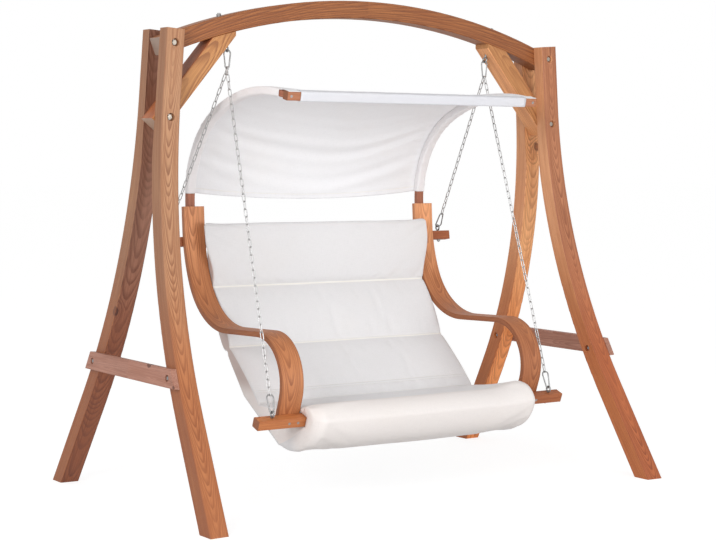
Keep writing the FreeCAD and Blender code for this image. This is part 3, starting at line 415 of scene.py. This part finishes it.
def zinc(name, colour, rough):
    """Zinc-plated steel: faint crystals, handling marks and darker, duller cloudy patches."""
    g = Graph(name)
    here = g.xyz(*g.position())
    crystals = g.node("TexVoronoi", feature="F1")
    g.feed(crystals.inputs["Vector"], here)
    g.feed(crystals.inputs["Scale"], 420.0)
    spangle = g.split(crystals.outputs["Color"])[0]
    cloudy = g.noise(here, 60.0, 3.0)
    scuffs = g.noise(here, 900.0, 2.0, 0.7)
    light, dark = srgb(*colour), tuple(0.62 * v for v in srgb(*colour)[:3]) + (1.0,)
    tint = g.mix(g.math("MULTIPLY_ADD", cloudy, 0.5, g.math("MULTIPLY", spangle, 0.25)), light, dark)
    g.bump(scuffs, 0.0002, 0.35)
    return g.put(Base_Color=tint, Metallic=1.0,
                 Roughness=g.fit(g.math("MULTIPLY_ADD", spangle, 0.4, cloudy), 0.3, 1.0, *rough, "LINEAR"))


def cloth(name, colour, thread, stitches=(), painted_shade=None, piping=(), band=None):
    """Plain-woven cloth; the map's U runs along the weft and V along the warp, in metres.

    thread is the width of its threads; stitches are the places along V of sewn rows; the fading colour is painted
    shade: where along V it comes in, and that colour; piping are the places along V of thin cream cords; band is where
    along V a tint comes in, is full, fades and ends, and its colour.
    """
    g = Graph(name)
    u, v, _ = g.split(g.node("UVMap", uv_map="weave").outputs[0])
    turns = math.tau / (2 * thread)
    weft = g.math("SINE", g.math("MULTIPLY", u, turns))
    warp = g.math("SINE", g.math("MULTIPLY", v, turns))
    over = g.math("MULTIPLY", weft, warp)
    slub = g.noise(g.xyz(g.math("MULTIPLY", u, 30.0), g.math("MULTIPLY", v, 700.0), 0.0), 1.0, 3.0)
    slub_b = g.noise(g.xyz(g.math("MULTIPLY", u, 700.0), g.math("MULTIPLY", v, 30.0), 4.0), 1.0, 3.0)
    tone = g.noise(g.xyz(u, v, 0.0), 3.0, 3.0)
    light = srgb(*colour)
    shade = tuple(c * 0.88 for c in light[:3]) + (1.0,)
    warm = (light[0] * 0.98, light[1] * 0.95, light[2] * 0.91, 1.0)
    colour = g.mix(g.fit(over, -1.0, 1.0, 0.0, 0.45, "LINEAR"), light, shade)
    colour = g.mix(g.fit(g.math("ADD", slub, slub_b), 0.9, 1.3, 0.0, 0.5), colour, shade)
    colour = g.mix(g.fit(tone, 0.45, 0.8, 0.0, 0.30), colour, warm)
    # Painted shade: from a place along V on, another, darker colour comes in
    if painted_shade:
        colour = g.mix(g.fit(v, *painted_shade[:2]), colour, srgb(*painted_shade[2]))
    if band:
        (start, full, fading, end), band_colour = band
        share = g.math("MULTIPLY", g.fit(v, start, full), g.fit(v, end, fading))
        tint = tuple(c / d for c, d in zip(srgb(*band_colour)[:3], light[:3])) + (1.0,)
        colour = g.mix(share, colour, tint, "MULTIPLY")
    height = g.math("MULTIPLY_ADD", over, 0.5, g.math("ADD", slub, slub_b))
    if stitches:
        thread_tone = (light[0], light[1] * 0.96, light[2] * 0.86, 1.0)
        dash = g.math("LESS_THAN", g.math("FRACT", g.math("DIVIDE", u, 0.0040)), 0.70)
        for row in stitches:
            off = g.math("ABSOLUTE", g.math("SUBTRACT", v, row))
            sewn = g.math("MULTIPLY", g.fit(off, 0.0009, 0.0005), dash)
            colour = g.mix(g.math("MULTIPLY", sewn, 0.8), colour, thread_tone)
            height = g.math("SUBTRACT", height, g.fit(off, 0.0030, 0.0, 0.0, 1.6))
            height = g.math("MULTIPLY_ADD", sewn, 2.0, height)
    for row in piping:
        cord = g.fit(g.math("ABSOLUTE", g.math("SUBTRACT", v, row)), 0.0024, 0.0014)
        colour = g.mix(g.math("MULTIPLY", cord, 0.45), colour, srgb(246, 241, 226))
    g.bump(height, 0.0005, 0.5)
    return g.put(Base_Color=colour, Roughness=g.fit(slub, 0.3, 0.7, 0.78, 0.92), Sheen_Weight=0.12,
                 Sheen_Roughness=0.5, Specular_IOR_Level=0.2)


# The legs' tint list is painted light and shade: the left legs darker, the lower parts warmer and darker below a paler
# painted sheen, the forward faces of the front right and rear left legs darker where shade falls, and the rear right
# legs' forward faces and the right legs' high leftward faces lighter where the light falls
legs = larch("larch_legs", leg_place, (226, 166, 116), pith=(-0.070, 0.004), taper=0.07, edge=0.040,
             painted_light_and_shade=[("low", (251, 215, 183)), ("left", (208, 213, 227)), ("front right forward", (206, 188, 192)),
                    ("rear left forward", (195, 183, 198)), ("rear right forward", (284, 290, 290)),
                    ("right leftward tall", (290, 298, 314))])
# The arms' tint list is painted light and shade: the lower parts darker, the right arm's upper part lighter and its
# lower part darker
arms = larch("larch_arms", side_place(ARM_PATH, ARM_X), (228, 159, 110), pith=(-0.050, 0.010), taper=0.05,
             layer=0.0055, ends=(0.0, path_length(ARM_PATH)), low=(1.08, 0.82), edge=0.050,
             painted_light_and_shade=[("low", (211, 199, 187)), ("right over", (272, 280, 288)), ("right under", (240, 234, 234))])
ribs = larch("larch_ribs", side_place(RIB_PATH, ARM_X), (176, 114, 88), pith=(0.08, 0.02), spacing=0.0036,
             layer=0.0065, ends=(0.0, path_length(RIB_PATH)))

# Weathered ends; the braces show none at the top, where they meet the arch
GREY_ENDS = (150, 138, 128)
BRACE_END = 9.0

arch_middle = ARCH_RADIUS * math.asin(ARCH_START / ARCH_RADIUS)
arch_half = ARCH_RADIUS * math.asin(ARCH_REACH / ARCH_RADIUS)
arch = larch("larch_arch", arch_place, (162, 101, 56), pith=(0.02, 0.09), layer=0.018,
             ends=(arch_middle - arch_half, arch_middle + arch_half), end_tone=GREY_ENDS)
slope = math.radians(BRACE_SLOPE)
brace_place = straight_place((-math.cos(slope), 0, math.sin(slope)), (0, 1, 0), (1.0, 0, BRACE_BOLT_Z), True)
# The braces' tint list is painted light and shade: faces turned up under the arch darker, faces turned down lighter
braces = larch("larch_braces", brace_place, (192, 136, 85), pith=(0.07, 0.01), ends=(BRACE_FOOT, BRACE_END),
               end_tone=GREY_ENDS, painted_light_and_shade=[("upward", (245, 214, 221)), ("downward", (318, 323, 347))])
stretchers = larch("larch_stretchers", straight_place((0, 1, 0), (1, 0, 0), (1.05, 0, 0.547), True), (178, 130, 112),
                   pith=(0.06, 0.01))
# The front bar's tint is painted shade: its right half darker
front_bar = larch("larch_front_bar", straight_place((1, 0, 0), (0, 0.34, 0.94), (0, *FRONT_BAR)), (194, 121, 70),
                  pith=(0.06, 0.03), ends=(-BAR_HALF, BAR_HALF), painted_light_and_shade=[("right", (226, 217, 226))])
rear_bar = larch("larch_rear_bar", straight_place((1, 0, 0), (0, -0.15, 0.99), (0, *REAR_BAR)), (172, 102, 64),
                 pith=(0.06, 0.04), ends=(-BAR_HALF, BAR_HALF))
canopy_bar = larch("larch_canopy_bar", straight_place((1, 0, 0), (0, -0.22, 0.97), (0, *CANOPY_BAR)), (180, 120, 86),
                   pith=(0.06, 0.03), ends=(-RIB_OUTER, RIB_OUTER))
steel = zinc("zinc_fittings", (158, 158, 158), (0.34, 0.52))
chain_steel = zinc("zinc_chain", (200, 200, 200), (0.28, 0.44))
bolt_steel = zinc("zinc_bolts", (172, 164, 153), (0.34, 0.52))

# Materials by node name, or by what a name starts with; all other nodes are fittings
DRESS = {"leg_": legs, "arm_": arms, "canopy_rib_": ribs, "arch_beam": arch, "brace_": braces,
         "stretcher_left": stretchers, "stretcher_right": stretchers, "front_bar": front_bar,
         "rear_bar": rear_bar, "canopy_bar": canopy_bar, "chain_": chain_steel, "frame_bolts": bolt_steel}


def dress(obj, material):
    obj.data.materials.clear()
    obj.data.materials.append(material)


for name, obj in nodes.items():
    fits = [m for start, m in DRESS.items() if name == start or start[-1] == "_" and name.startswith(start)]
    dress(obj, fits[0] if fits else steel)


# Meshes
def smooth(t):
    """Ease from 0 to 1."""
    t = min(1.0, max(0.0, t))
    return t * t * (3 - 2 * t)


def lengths(points):
    """Length along a line at each of its points."""
    return np.concatenate(([0], np.cumsum(np.linalg.norm(np.diff(points, axis=0), axis=1))))


def folds(a, b, *waves):
    """Height of soft folds at a place; each wave is its height, its two scales and a seed."""
    return sum(height * abs(noise.noise((a * p, b * q, seed))) for height, p, q, seed in waves)


def spread(count):
    """Shares of a panel, closer together towards both of its seams."""
    return (1 - np.cos(math.pi * np.arange(count) / count)) / 2


def arc_points(p, q, r, shares):
    """Points from p over q to r on one arc, without the last, at shares of it or a count of equal steps."""
    if isinstance(shares, int):
        shares = np.arange(shares) / shares
    p, q, r = (np.array(v, float) for v in (p, q, r))
    d = 2 * (p[0] * (q[1] - r[1]) + q[0] * (r[1] - p[1]) + r[0] * (p[1] - q[1]))
    ux = ((p @ p) * (q[1] - r[1]) + (q @ q) * (r[1] - p[1]) + (r @ r) * (p[1] - q[1])) / d
    uy = ((p @ p) * (r[0] - q[0]) + (q @ q) * (p[0] - r[0]) + (r @ r) * (q[0] - p[0])) / d
    centre = np.array((ux, uy))
    a, b, c = (math.atan2(*(v - centre)[::-1]) for v in (p, q, r))
    turn = (c - a) % math.tau
    if (b - a) % math.tau > turn:
        turn -= math.tau
    radius = np.linalg.norm(p - centre)
    steps = a + turn * shares
    return centre + radius * np.stack((np.cos(steps), np.sin(steps)), 1)


def swollen(p, q, swell, shares):
    p, q = np.array(p, float), np.array(q, float)
    run = (q - p) / np.linalg.norm(q - p)
    return arc_points(p, (p + q) / 2 + swell * np.array((run[1], -run[0])), q, shares)


def puffed(p, q, swell, shares):
    """A line from p to q that swells close to both of its seams."""
    p, q = np.array(p, float), np.array(q, float)
    run = (q - p) / np.linalg.norm(q - p)
    rise = swell * (1 - np.abs(2 * shares - 1) ** 8)
    return p + (q - p) * shares[:, None] + rise[:, None] * np.array((run[1], -run[0]))


def straight(p, q, count):
    p, q = np.array(p, float), np.array(q, float)
    return p + (q - p) * (np.arange(count) / count)[:, None]


def outward(loop):
    """Normals of a closed loop that runs anticlockwise or clockwise, pointing out of it."""
    ahead = np.roll(loop, -1, 0) - np.roll(loop, 1, 0)
    normal = np.stack((ahead[:, 1], -ahead[:, 0]), 1)
    normal /= np.linalg.norm(normal, axis=1)[:, None] + 1e-12
    x, y = loop[:, 0], loop[:, 1]
    area = np.sum(x * np.roll(y, -1) - np.roll(x, -1) * y)
    return normal * math.copysign(1.0, area)


def new_object(name, verts, faces, material, uv=None):
    mesh = bpy.data.meshes.new(name)
    mesh.from_pydata([tuple(map(float, v)) for v in verts], [], [tuple(map(int, f)) for f in faces])
    mesh.validate()
    if uv is not None:
        layer = mesh.uv_layers.new(name="weave")
        for loop in mesh.loops:
            layer.data[loop.index].uv = uv[loop.vertex_index]
    obj = bpy.data.objects.new(name, mesh)
    scene.collection.objects.link(obj)
    mesh.materials.append(material)
    mesh.shade_smooth()
    return obj


def grid_faces(rows, cols, wrap, start=0):
    """Quads of a grid whose vertex is start + row * cols + col; wrap joins the last column to the first."""
    faces = []
    for i in range(rows - 1):
        for j in range(cols if wrap else cols - 1):
            k = (j + 1) % cols
            here, above = start + i * cols, start + (i + 1) * cols
            faces.append([here + j, here + k, above + k, above + j])
    return faces


def thicken(obj, thickness, offset):
    thick = obj.modifiers.new("cloth", "SOLIDIFY")
    thick.thickness, thick.offset = thickness, offset


# Sling
def from_front(p):
    return (FRONT_BAR[0] + p[0], FRONT_BAR[1] + p[1])


def sling_section(roll):
    """Closed outline of the sling in side view, with where its parts start; a row is sewn before its last seam."""
    under = []
    for i, seam in enumerate(SEAMS):
        before, after = SEAMS[max(i - 1, 0)], SEAMS[min(i + 1, 3)]
        run = math.degrees(math.atan2(after[1] - before[1], after[0] - before[0]))
        under.append(tuple(np.array(seam) + polar(run + 90, SEAM_THICK)))
    under[3] = UNDER_SEAT
    top, brow, front, chin, low, bottom, heel, rise = (from_front(p) for p in roll)
    row = 1 - SEAT_ROW / math.dist(SEAMS[2], SEAMS[3])
    seat = np.concatenate((row * spread(SEAT_STEPS), row + (1 - row) * spread(16)))
    parts = [swollen(SEAMS[i], SEAMS[i + 1], CROWNS[i], s) for i, s in enumerate((spread(44), spread(44), seat))]
    parts += [arc_points(SEAMS[3], rise, top, spread(44)), arc_points(top, brow, front, 16),
              arc_points(front, chin, low, 18), arc_points(low, bottom, heel, 20), straight(heel, under[3], 12)]
    parts += [puffed(under[i], under[i - 1], BELLIES[i - 1], spread(30)) for i in (3, 2, 1)]
    parts.append(swollen(under[0], SEAMS[0], SEAM_THICK / 3, 10))
    starts = np.cumsum([0] + [len(p) for p in parts])
    return np.concatenate(parts), starts


def inflate(obj, pinned, cap, fullness):
    """Swell a closed cloth between its pinned points; no point moves further than the cap."""
    mesh = obj.data
    rest = np.empty(3 * len(mesh.vertices))
    mesh.vertices.foreach_get("co", rest)
    group = obj.vertex_groups.new(name="held")
    group.add([int(k) for k in pinned], 1.0, "REPLACE")
    swell = obj.modifiers.new("swell", "CLOTH")
    stuff = swell.settings
    stuff.quality, stuff.mass, stuff.vertex_group_mass = 4, 0.25, "held"
    stuff.tension_stiffness = stuff.compression_stiffness = 18.0
    stuff.shear_stiffness, stuff.bending_stiffness = 8.0, 1.5
    stuff.use_pressure, stuff.uniform_pressure_force = True, 4.0
    stuff.shrink_min = -fullness
    stuff.effector_weights.gravity = 0.0
    swell.collision_settings.use_collision = False
    swell.point_cache.frame_start, swell.point_cache.frame_end = 1, SWELL_FRAMES
    for frame_number in range(1, SWELL_FRAMES + 1):
        scene.frame_set(frame_number)
    done = obj.evaluated_get(bpy.context.evaluated_depsgraph_get())
    shape = np.empty_like(rest)
    done.data.vertices.foreach_get("co", shape)
    move = (shape - rest).reshape(-1, 3)
    reach = np.linalg.norm(move, axis=1)[:, None] + 1e-9
    move *= np.tanh(reach / cap) * cap / reach
    obj.modifiers.remove(swell)
    obj.vertex_groups.remove(group)
    mesh.vertices.foreach_set("co", rest + move.ravel())
    mesh.update()
    scene.frame_set(1)


def build_sling():
    """The padded sling: its outline swept along X, sewn in, closed round the bar's hollow and swollen."""
    loop, starts = sling_section(ROLL)
    (middle_loop, _), (end_loop, _) = (sling_section(roll) for roll in (ROLL_MIDDLE, ROLL_END))
    n = len(loop)
    index = np.arange(n)
    edge = starts[TOP_EDGE]
    sitting = np.where(index < starts[SEAT], 1.0, np.maximum(0.0, (index - edge) / (n - edge)))
    drawn = np.interp(index, (starts[CHIN], starts[BOTTOM]), (END_TAPERS[0], LOW_TAPER))
    length = lengths(loop)
    normal = outward(loop)
    seams = [length[starts[k]] for k in (1, 2, 3)]
    seams.insert(2, length[starts[SEAT] + SEAT_STEPS])
    seam_at = seams + [length[starts[k]] for k in (LOWER_BACK, UPPER_BACK)]
    ends = [(0.0, 0.0075), (0.0006, 0.0040), (0.0022, 0.0016), (0.0050, 0.0004), (0.0100, 0.0)]
    inner = np.linspace(-SLING_HALF + ends[-1][0], SLING_HALF - ends[-1][0], 76)[1:-1]
    xs = [-SLING_HALF + d for d, _ in ends] + list(inner) + [SLING_HALF - d for d, _ in reversed(ends)]
    insets = [i for _, i in ends] + [0.0] * len(inner) + [i for _, i in reversed(ends)]
    verts, uv, pinned = [], [], []
    for x, inset in zip(xs, insets):
        far = np.minimum(1.0, np.minimum((SLING_HALF + x) / drawn, (SLING_HALF - x) / END_TAPERS[1]))
        full = np.sqrt(1 - (1 - far) ** 2)[:, None]
        here = loop + smooth((SUNK_TO - x) / SUNK_OVER) * (middle_loop - loop)
        here = end_loop + full * (here - end_loop)
        widen = TOP_SPREADS[0 if x < 0 else 1] / SLING_HALF
        for j in range(n):
            near = min(abs(length[j] - s) for s in seam_at)
            depth = ROW_DEPTH if abs(length[j] - seams[2]) == near else SEAM_DEPTH
            soft = noise.noise((x * 4.0, length[j] * 4.0, 3.0)) * 0.0020
            tuck = -depth * math.exp(-(near / 0.010) ** 2) + 0.0020 * math.exp(-(near / 0.0022) ** 2)
            p = here[j] + normal[j] * (soft + tuck - inset)
            high = smooth(min(1.0, (p[1] - SPREAD_FROM) / SPREAD_OVER) * sitting[j])
            if near < SEAM_HELD or abs(x) > SLING_HALF - END_HELD:
                pinned.append(len(verts))
            verts.append((x * (1 + widen * high), *p))
            uv.append((x, length[j]))
    rows = [s + d for s in seam_at for d in (-STITCH_OFFSET, STITCH_OFFSET)]
    band = [length[starts[k]] + d for k, d in ((BROW, -0.10), (BROW, -0.02), (BOTTOM, 0.02), (BOTTOM, 0.12))]
    material = cloth("pad_cloth", (225, 224, 225), 0.0012, rows, piping=seams[:2], band=(band, (229, 223, 220)))
    obj = new_object("sling", verts, grid_faces(len(xs), n, True), material, uv)
    # The sling's end faces get their own cloth: lighter than the pad, painted light where the bar shades them, and
    # turning darker from a height of 0.40 to 0.47 up, painted shade where the arm shades them
    obj.data.materials.append(cloth("pad_side_cloth", (236, 229, 226), 0.0012, painted_shade=(0.40, 0.47, (196, 181, 176))))
    bm = bmesh.new()
    bm.from_mesh(obj.data)
    bm.verts.ensure_lookup_table()
    for ring in sling_hollow():
        for p in ring:
            pinned.append(len(bm.verts))
            bm.verts.new(p)
    bm.verts.ensure_lookup_table()
    count = len(ring)
    for quad in grid_faces((len(bm.verts) - len(verts)) // count, count, True, len(verts)):
        bm.faces.new([bm.verts[k] for k in quad])
    edge_rings = [[bm.verts[start + j] for j in range(size)] for start, size in (
        (0, n), (len(verts), count), (len(verts) - n, n), (len(bm.verts) - count, count))]
    layer = bm.loops.layers.uv["weave"]
    for pair in (edge_rings[:2], edge_rings[2:]):
        edges = [bm.edges.get((ring[k - 1], ring[k])) for ring in pair for k in range(len(ring))]
        made = bmesh.ops.triangle_fill(bm, edges=edges, use_beauty=True, use_dissolve=False)
        for face in made["geom"]:
            if isinstance(face, bmesh.types.BMFace):
                face.material_index = 1
    bm.verts.index_update()
    for face in bm.faces:
        for corner in face.loops:
            if face.material_index or corner.vert.index >= len(verts):
                corner[layer].uv = corner.vert.co.yz
    bmesh.ops.recalc_face_normals(bm, faces=bm.faces)
    bm.to_mesh(obj.data)
    bm.free()
    inflate(obj, pinned, SWELL_CAP, SWELL_FULLNESS)
    obj.data.shade_smooth()
    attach(obj, "seat")
    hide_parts("seat_sling")
    return material


def sling_hollow():
    """Rings of the hollow in the front roll, which closes round the bar at both ends."""
    corners = np.array(HOLLOW)
    sides = np.roll(corners, -1, 0) - corners
    across = np.stack((sides[:, 1], -sides[:, 0]), 1)
    across *= np.sign(np.sum(across * corners, 1))[:, None]
    level = np.sum(across * corners, 1)
    angles = np.arange(0, 360, 6)
    rays = np.array([polar(a) for a in angles])
    facing = rays @ across.T
    wide = np.min(np.where(facing > 1e-9, level / np.maximum(facing, 1e-9), np.inf), axis=1)
    turned = np.abs(np.array([polar(a - FRONT_TILT) for a in angles])) + 1e-9
    snug = np.min(np.array(BAR_HOLE) / turned, axis=1)
    rings = []
    for x, share in [(SLING_HALF, 0.0), (SLING_HALF - 0.005, 0.0), (SLING_HALF - 0.022, 1.0)]:
        rings.append((x, snug + share * (wide - snug)))
    stations = [(-x, r) for x, r in rings] + [(x, wide) for x in np.linspace(-0.4, 0.4, 9)] + rings[::-1]
    return [[(x, *from_front(ray * reach)) for ray, reach in zip(rays, radii)] for x, radii in stations]


def rounded_box(depth, height, radius):
    """Closed outline of a rectangle with round corners, about its middle."""
    points, count = [], 6
    for cx, cy, a in ((1, 1, 0), (-1, 1, 90), (-1, -1, 180), (1, -1, 270)):
        middle = np.array((cx * (depth / 2 - radius), cy * (height / 2 - radius)))
        points += [middle + polar(a + 90 * i / count, radius) for i in range(count + 1)]
    return np.array(points)


def tube_sheet(name, outline, place, tilt, half, wrinkle, material):
    """Sleeve along X round a bar: a thin tube with open ends and soft wrinkles."""
    c, s = polar(tilt)
    turned = outline @ np.array(((c, s), (-s, c)))
    normal, length = outward(turned), lengths(turned)
    verts, uv, count = [], [], 90
    for x in np.linspace(-half, half, count):
        for p, d, along in zip(turned, normal, length):
            lift = folds(x, along, (wrinkle, 17.0, 14.0, 5.0), (wrinkle * 0.5, 46.0, 20.0, 1.0))
            verts.append((x, *(np.array(place) + p + d * lift)))
            uv.append((x, along))
    obj = new_object(name, verts, grid_faces(count, len(turned), True), material, uv)
    thicken(obj, 0.0012, -1.0)
    return obj


def build_rear_sleeve(material):
    outline = rounded_box(0.062, 0.052, 0.010) + np.array((-0.006, 0.0))
    obj = tube_sheet("sling_rear_sleeve", outline, REAR_BAR, REAR_TILT, REAR_SLEEVE_HALF, 0.0016, material)
    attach(obj, "seat")


# Canopy
def droop_at(x):
    """Share of the full sag between the ribs: 1 in the middle and 0 at the ribs."""
    return max(0.0, 1.0 - (x / RIB_INNER) ** 2)


def hem_length(x):
    return RIB_FOOT + HEM_RISE - HEM_DROOP * droop_at(x)


def canopy_drop(x, share, s):
    """How far the cloth hangs under the ribs' upper side: its sag, swags between the ribs and gathers beside them."""
    droop = droop_at(x)
    held = min(1.0, droop * 3.0)
    level = share + 0.10 * droop + 0.030 * noise.noise((x * 2.2, share * 3.0, 4.0))
    swag = math.sin(math.tau * level * 9.0) + 0.7 * math.sin(math.tau * level * 14.6 + 1.0)
    strength = 0.12 + 0.88 * math.exp(-((share - 0.17) / 0.19) ** 2)
    gather = noise.noise((s * 46.0, x * 5.0, 9.0)) * math.exp(-((RIB_INNER - abs(x)) / 0.055) ** 2)
    soft = 0.005 * noise.noise((x * 3.2, share * 4.0, 2.0))
    return SAG * droop + held * (SWAG * swag * strength + soft) + GATHER * gather * min(1.0, droop * 12.0)


def build_canopy():
    """The roof, cut out in front between the ends of the bar's sleeve."""
    total = path_length(RIB_PATH)
    cols, rows = 141, 185
    xs = np.linspace(-CANOPY_HALF, CANOPY_HALF, cols)
    verts, uv = [], []
    for i in range(rows):
        share = i / (rows - 1)
        for x in xs:
            hem = hem_length(x)
            s = hem + share * (total + BAR_LAP - hem)
            rise = min(1.0, max(0.0, (s - total + BAR_REACH) / BAR_RAMP))
            lift = ROOF_LIFT + BAR_STEP * smooth(rise)
            verts.append((x, *path_at(RIB_PATH, s, canopy_drop(x, share, s) * (1 - rise) - lift)))
            uv.append((x, s - hem))
    faces = []
    for quad in grid_faces(rows, cols, False):
        x = np.mean([abs(verts[k][0]) for k in quad])
        s = np.mean([uv[k][1] + hem_length(verts[k][0]) for k in quad])
        if x > SLEEVE_HALF or s < total + 0.004:
            faces.append(quad)
    used = sorted({k for f in faces for k in f})
    index = {k: i for i, k in enumerate(used)}
    material = cloth("roof_cloth", (240, 240, 242), 0.0010, [0.020, 0.0225])
    obj = new_object("canopy_roof", [verts[k] for k in used], [[index[k] for k in f] for f in faces], material,
                     [uv[k] for k in used])
    thicken(obj, 0.0014, 0.0)
    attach(obj, "seat")
    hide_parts("canopy_fabric")
    return obj, total


def build_rib_sleeve(name, side, total, material):
    """Casing sewn to the roof round a rib, gathered a little along its seams."""
    depth = 0.0300
    outline = rounded_box(depth, 0.0385, 0.007)
    normal, length = outward(outline), lengths(outline)
    middle = side * (RIB_INNER + RIB_OUTER) / 2
    verts, uv, count = [], [], 190
    for s in np.linspace(RIB_FOOT + HEM_RISE, total - BAR_REACH, count):
        for p, d, along in zip(outline, normal, length):
            q = p + d * folds(s, along, (0.0035, 38.0, 12.0, side * 3.0), (0.001, 90.0, 20.0, 0.0))
            verts.append((middle + q[1], *path_at(RIB_PATH, s, 0.013 - min(q[0], depth / 2))))
            uv.append((s, along))
    obj = new_object(name, verts, grid_faces(count, len(outline), True), material, uv)
    thicken(obj, 0.0010, -1.0)
    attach(obj, "seat")
    return obj


pad_cloth = build_sling()
build_rear_sleeve(pad_cloth)
roof, rib_length = build_canopy()
# The front sleeve's cloth is a darker copy of the roof's: painted shade on the sleeve, which faces the lamps
shaded_sleeve_cloth = cloth("shaded_sleeve_cloth", (215, 215, 220), 0.0010)
rib_cloth = cloth("rib_cloth", (238, 235, 236), 0.0010)
front_sleeve = tube_sheet("canopy_front_sleeve", rounded_box(0.0400, 0.0400, 0.008), CANOPY_BAR, CANOPY_HEADING,
                          SLEEVE_HALF, 0.0018, shaded_sleeve_cloth)
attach(front_sleeve, "seat")
rib_sleeves = [build_rib_sleeve("canopy_sleeve_" + n, side, rib_length, rib_cloth)
               for n, side in (("left", -1.0), ("right", 1.0))]

# Stage
FLOOR_SIZE = 60.0
AMBIENT = 0.66
WHITE = (1.0, 1.0, 1.0, 1.0)
CAMERA_PLACE = (-4.224, -6.215, 1.412)
CAMERA_TURN = (34.11, -3.84, 0.34)
CAMERA_LENS = 88.06


def build_stage():
    """A pale floor that looks white to the eye, and an even white surrounding."""
    floor = new_object("floor", [(-FLOOR_SIZE, -FLOOR_SIZE, 0), (FLOOR_SIZE, -FLOOR_SIZE, 0),
                                 (FLOOR_SIZE, FLOOR_SIZE, 0), (-FLOOR_SIZE, FLOOR_SIZE, 0)], [(0, 1, 2, 3)], None)
    g = Graph("floor")
    seen = g.node("LightPath")
    shown = g.math("MAXIMUM", g.math("MAXIMUM", seen.outputs["Is Camera Ray"], seen.outputs["Is Glossy Ray"]),
                   seen.outputs["Is Transmission Ray"])
    dress(floor, g.put(Base_Color=g.mix(shown, (0.80, 0.80, 0.80, 1.0), (0.30, 0.30, 0.30, 1.0)), Roughness=1.0,
                       Specular_IOR_Level=0.0, Emission_Color=WHITE, Emission_Strength=g.math("MULTIPLY", shown, 0.80)))

    world = bpy.data.worlds.new("studio")
    scene.world = world
    world.use_nodes = True
    tree = world.node_tree
    tree.nodes.clear()
    out, back, path = (tree.nodes.new("ShaderNode" + k) for k in ("OutputWorld", "Background", "LightPath"))
    seen = path.outputs["Is Camera Ray"]
    for other in ("Is Glossy Ray", "Is Transmission Ray"):
        either = tree.nodes.new("ShaderNodeMath")
        either.operation = "MAXIMUM"
        tree.links.new(seen, either.inputs[0])
        tree.links.new(path.outputs[other], either.inputs[1])
        seen = either.outputs[0]
    strength = tree.nodes.new("ShaderNodeMapRange")
    tree.links.new(seen, strength.inputs[0])
    strength.inputs[3].default_value, strength.inputs[4].default_value = AMBIENT, 1.0
    tree.links.new(strength.outputs[0], back.inputs["Strength"])
    back.inputs["Color"].default_value = WHITE
    tree.links.new(back.outputs[0], out.inputs[0])


def lamp(name, place, target, size, watts):
    light = bpy.data.lights.new(name, "AREA")
    light.shape, light.size, light.energy = "DISK", size, watts
    obj = bpy.data.objects.new(name, light)
    scene.collection.objects.link(obj)
    obj.location = place
    obj.rotation_mode = "QUATERNION"
    obj.rotation_quaternion = (Vector(target) - Vector(place)).to_track_quat("-Z", "Y")


def build_camera():
    yaw, pitch, roll = (math.radians(a) for a in CAMERA_TURN)
    ahead = Vector((math.sin(yaw) * math.cos(pitch), math.cos(yaw) * math.cos(pitch), math.sin(pitch)))
    level = Vector((math.cos(yaw), -math.sin(yaw), 0.0))
    rise = level.cross(ahead)
    right = level * math.cos(roll) + rise * math.sin(roll)
    up = right.cross(ahead)
    data = bpy.data.cameras.new("camera")
    data.sensor_fit, data.sensor_width, data.lens = "HORIZONTAL", 36.0, CAMERA_LENS
    data.clip_end = 200.0
    obj = bpy.data.objects.new("camera", data)
    scene.collection.objects.link(obj)
    turn = Matrix((right, up, -ahead)).transposed()
    obj.matrix_world = Matrix.Translation(CAMERA_PLACE) @ turn.to_4x4()
    scene.camera = obj


build_stage()
lamp("key", (-5.6, -3.6, 2.6), (0.0, 0.0, 1.0), 3.2, 215.0)
lamp("fill", (0.8, -5.8, 0.7), (0.0, 0.0, 1.45), 4.0, 180.0)
build_camera()
scene.view_settings.view_transform = "Standard"

bpy.context.view_layer.update()
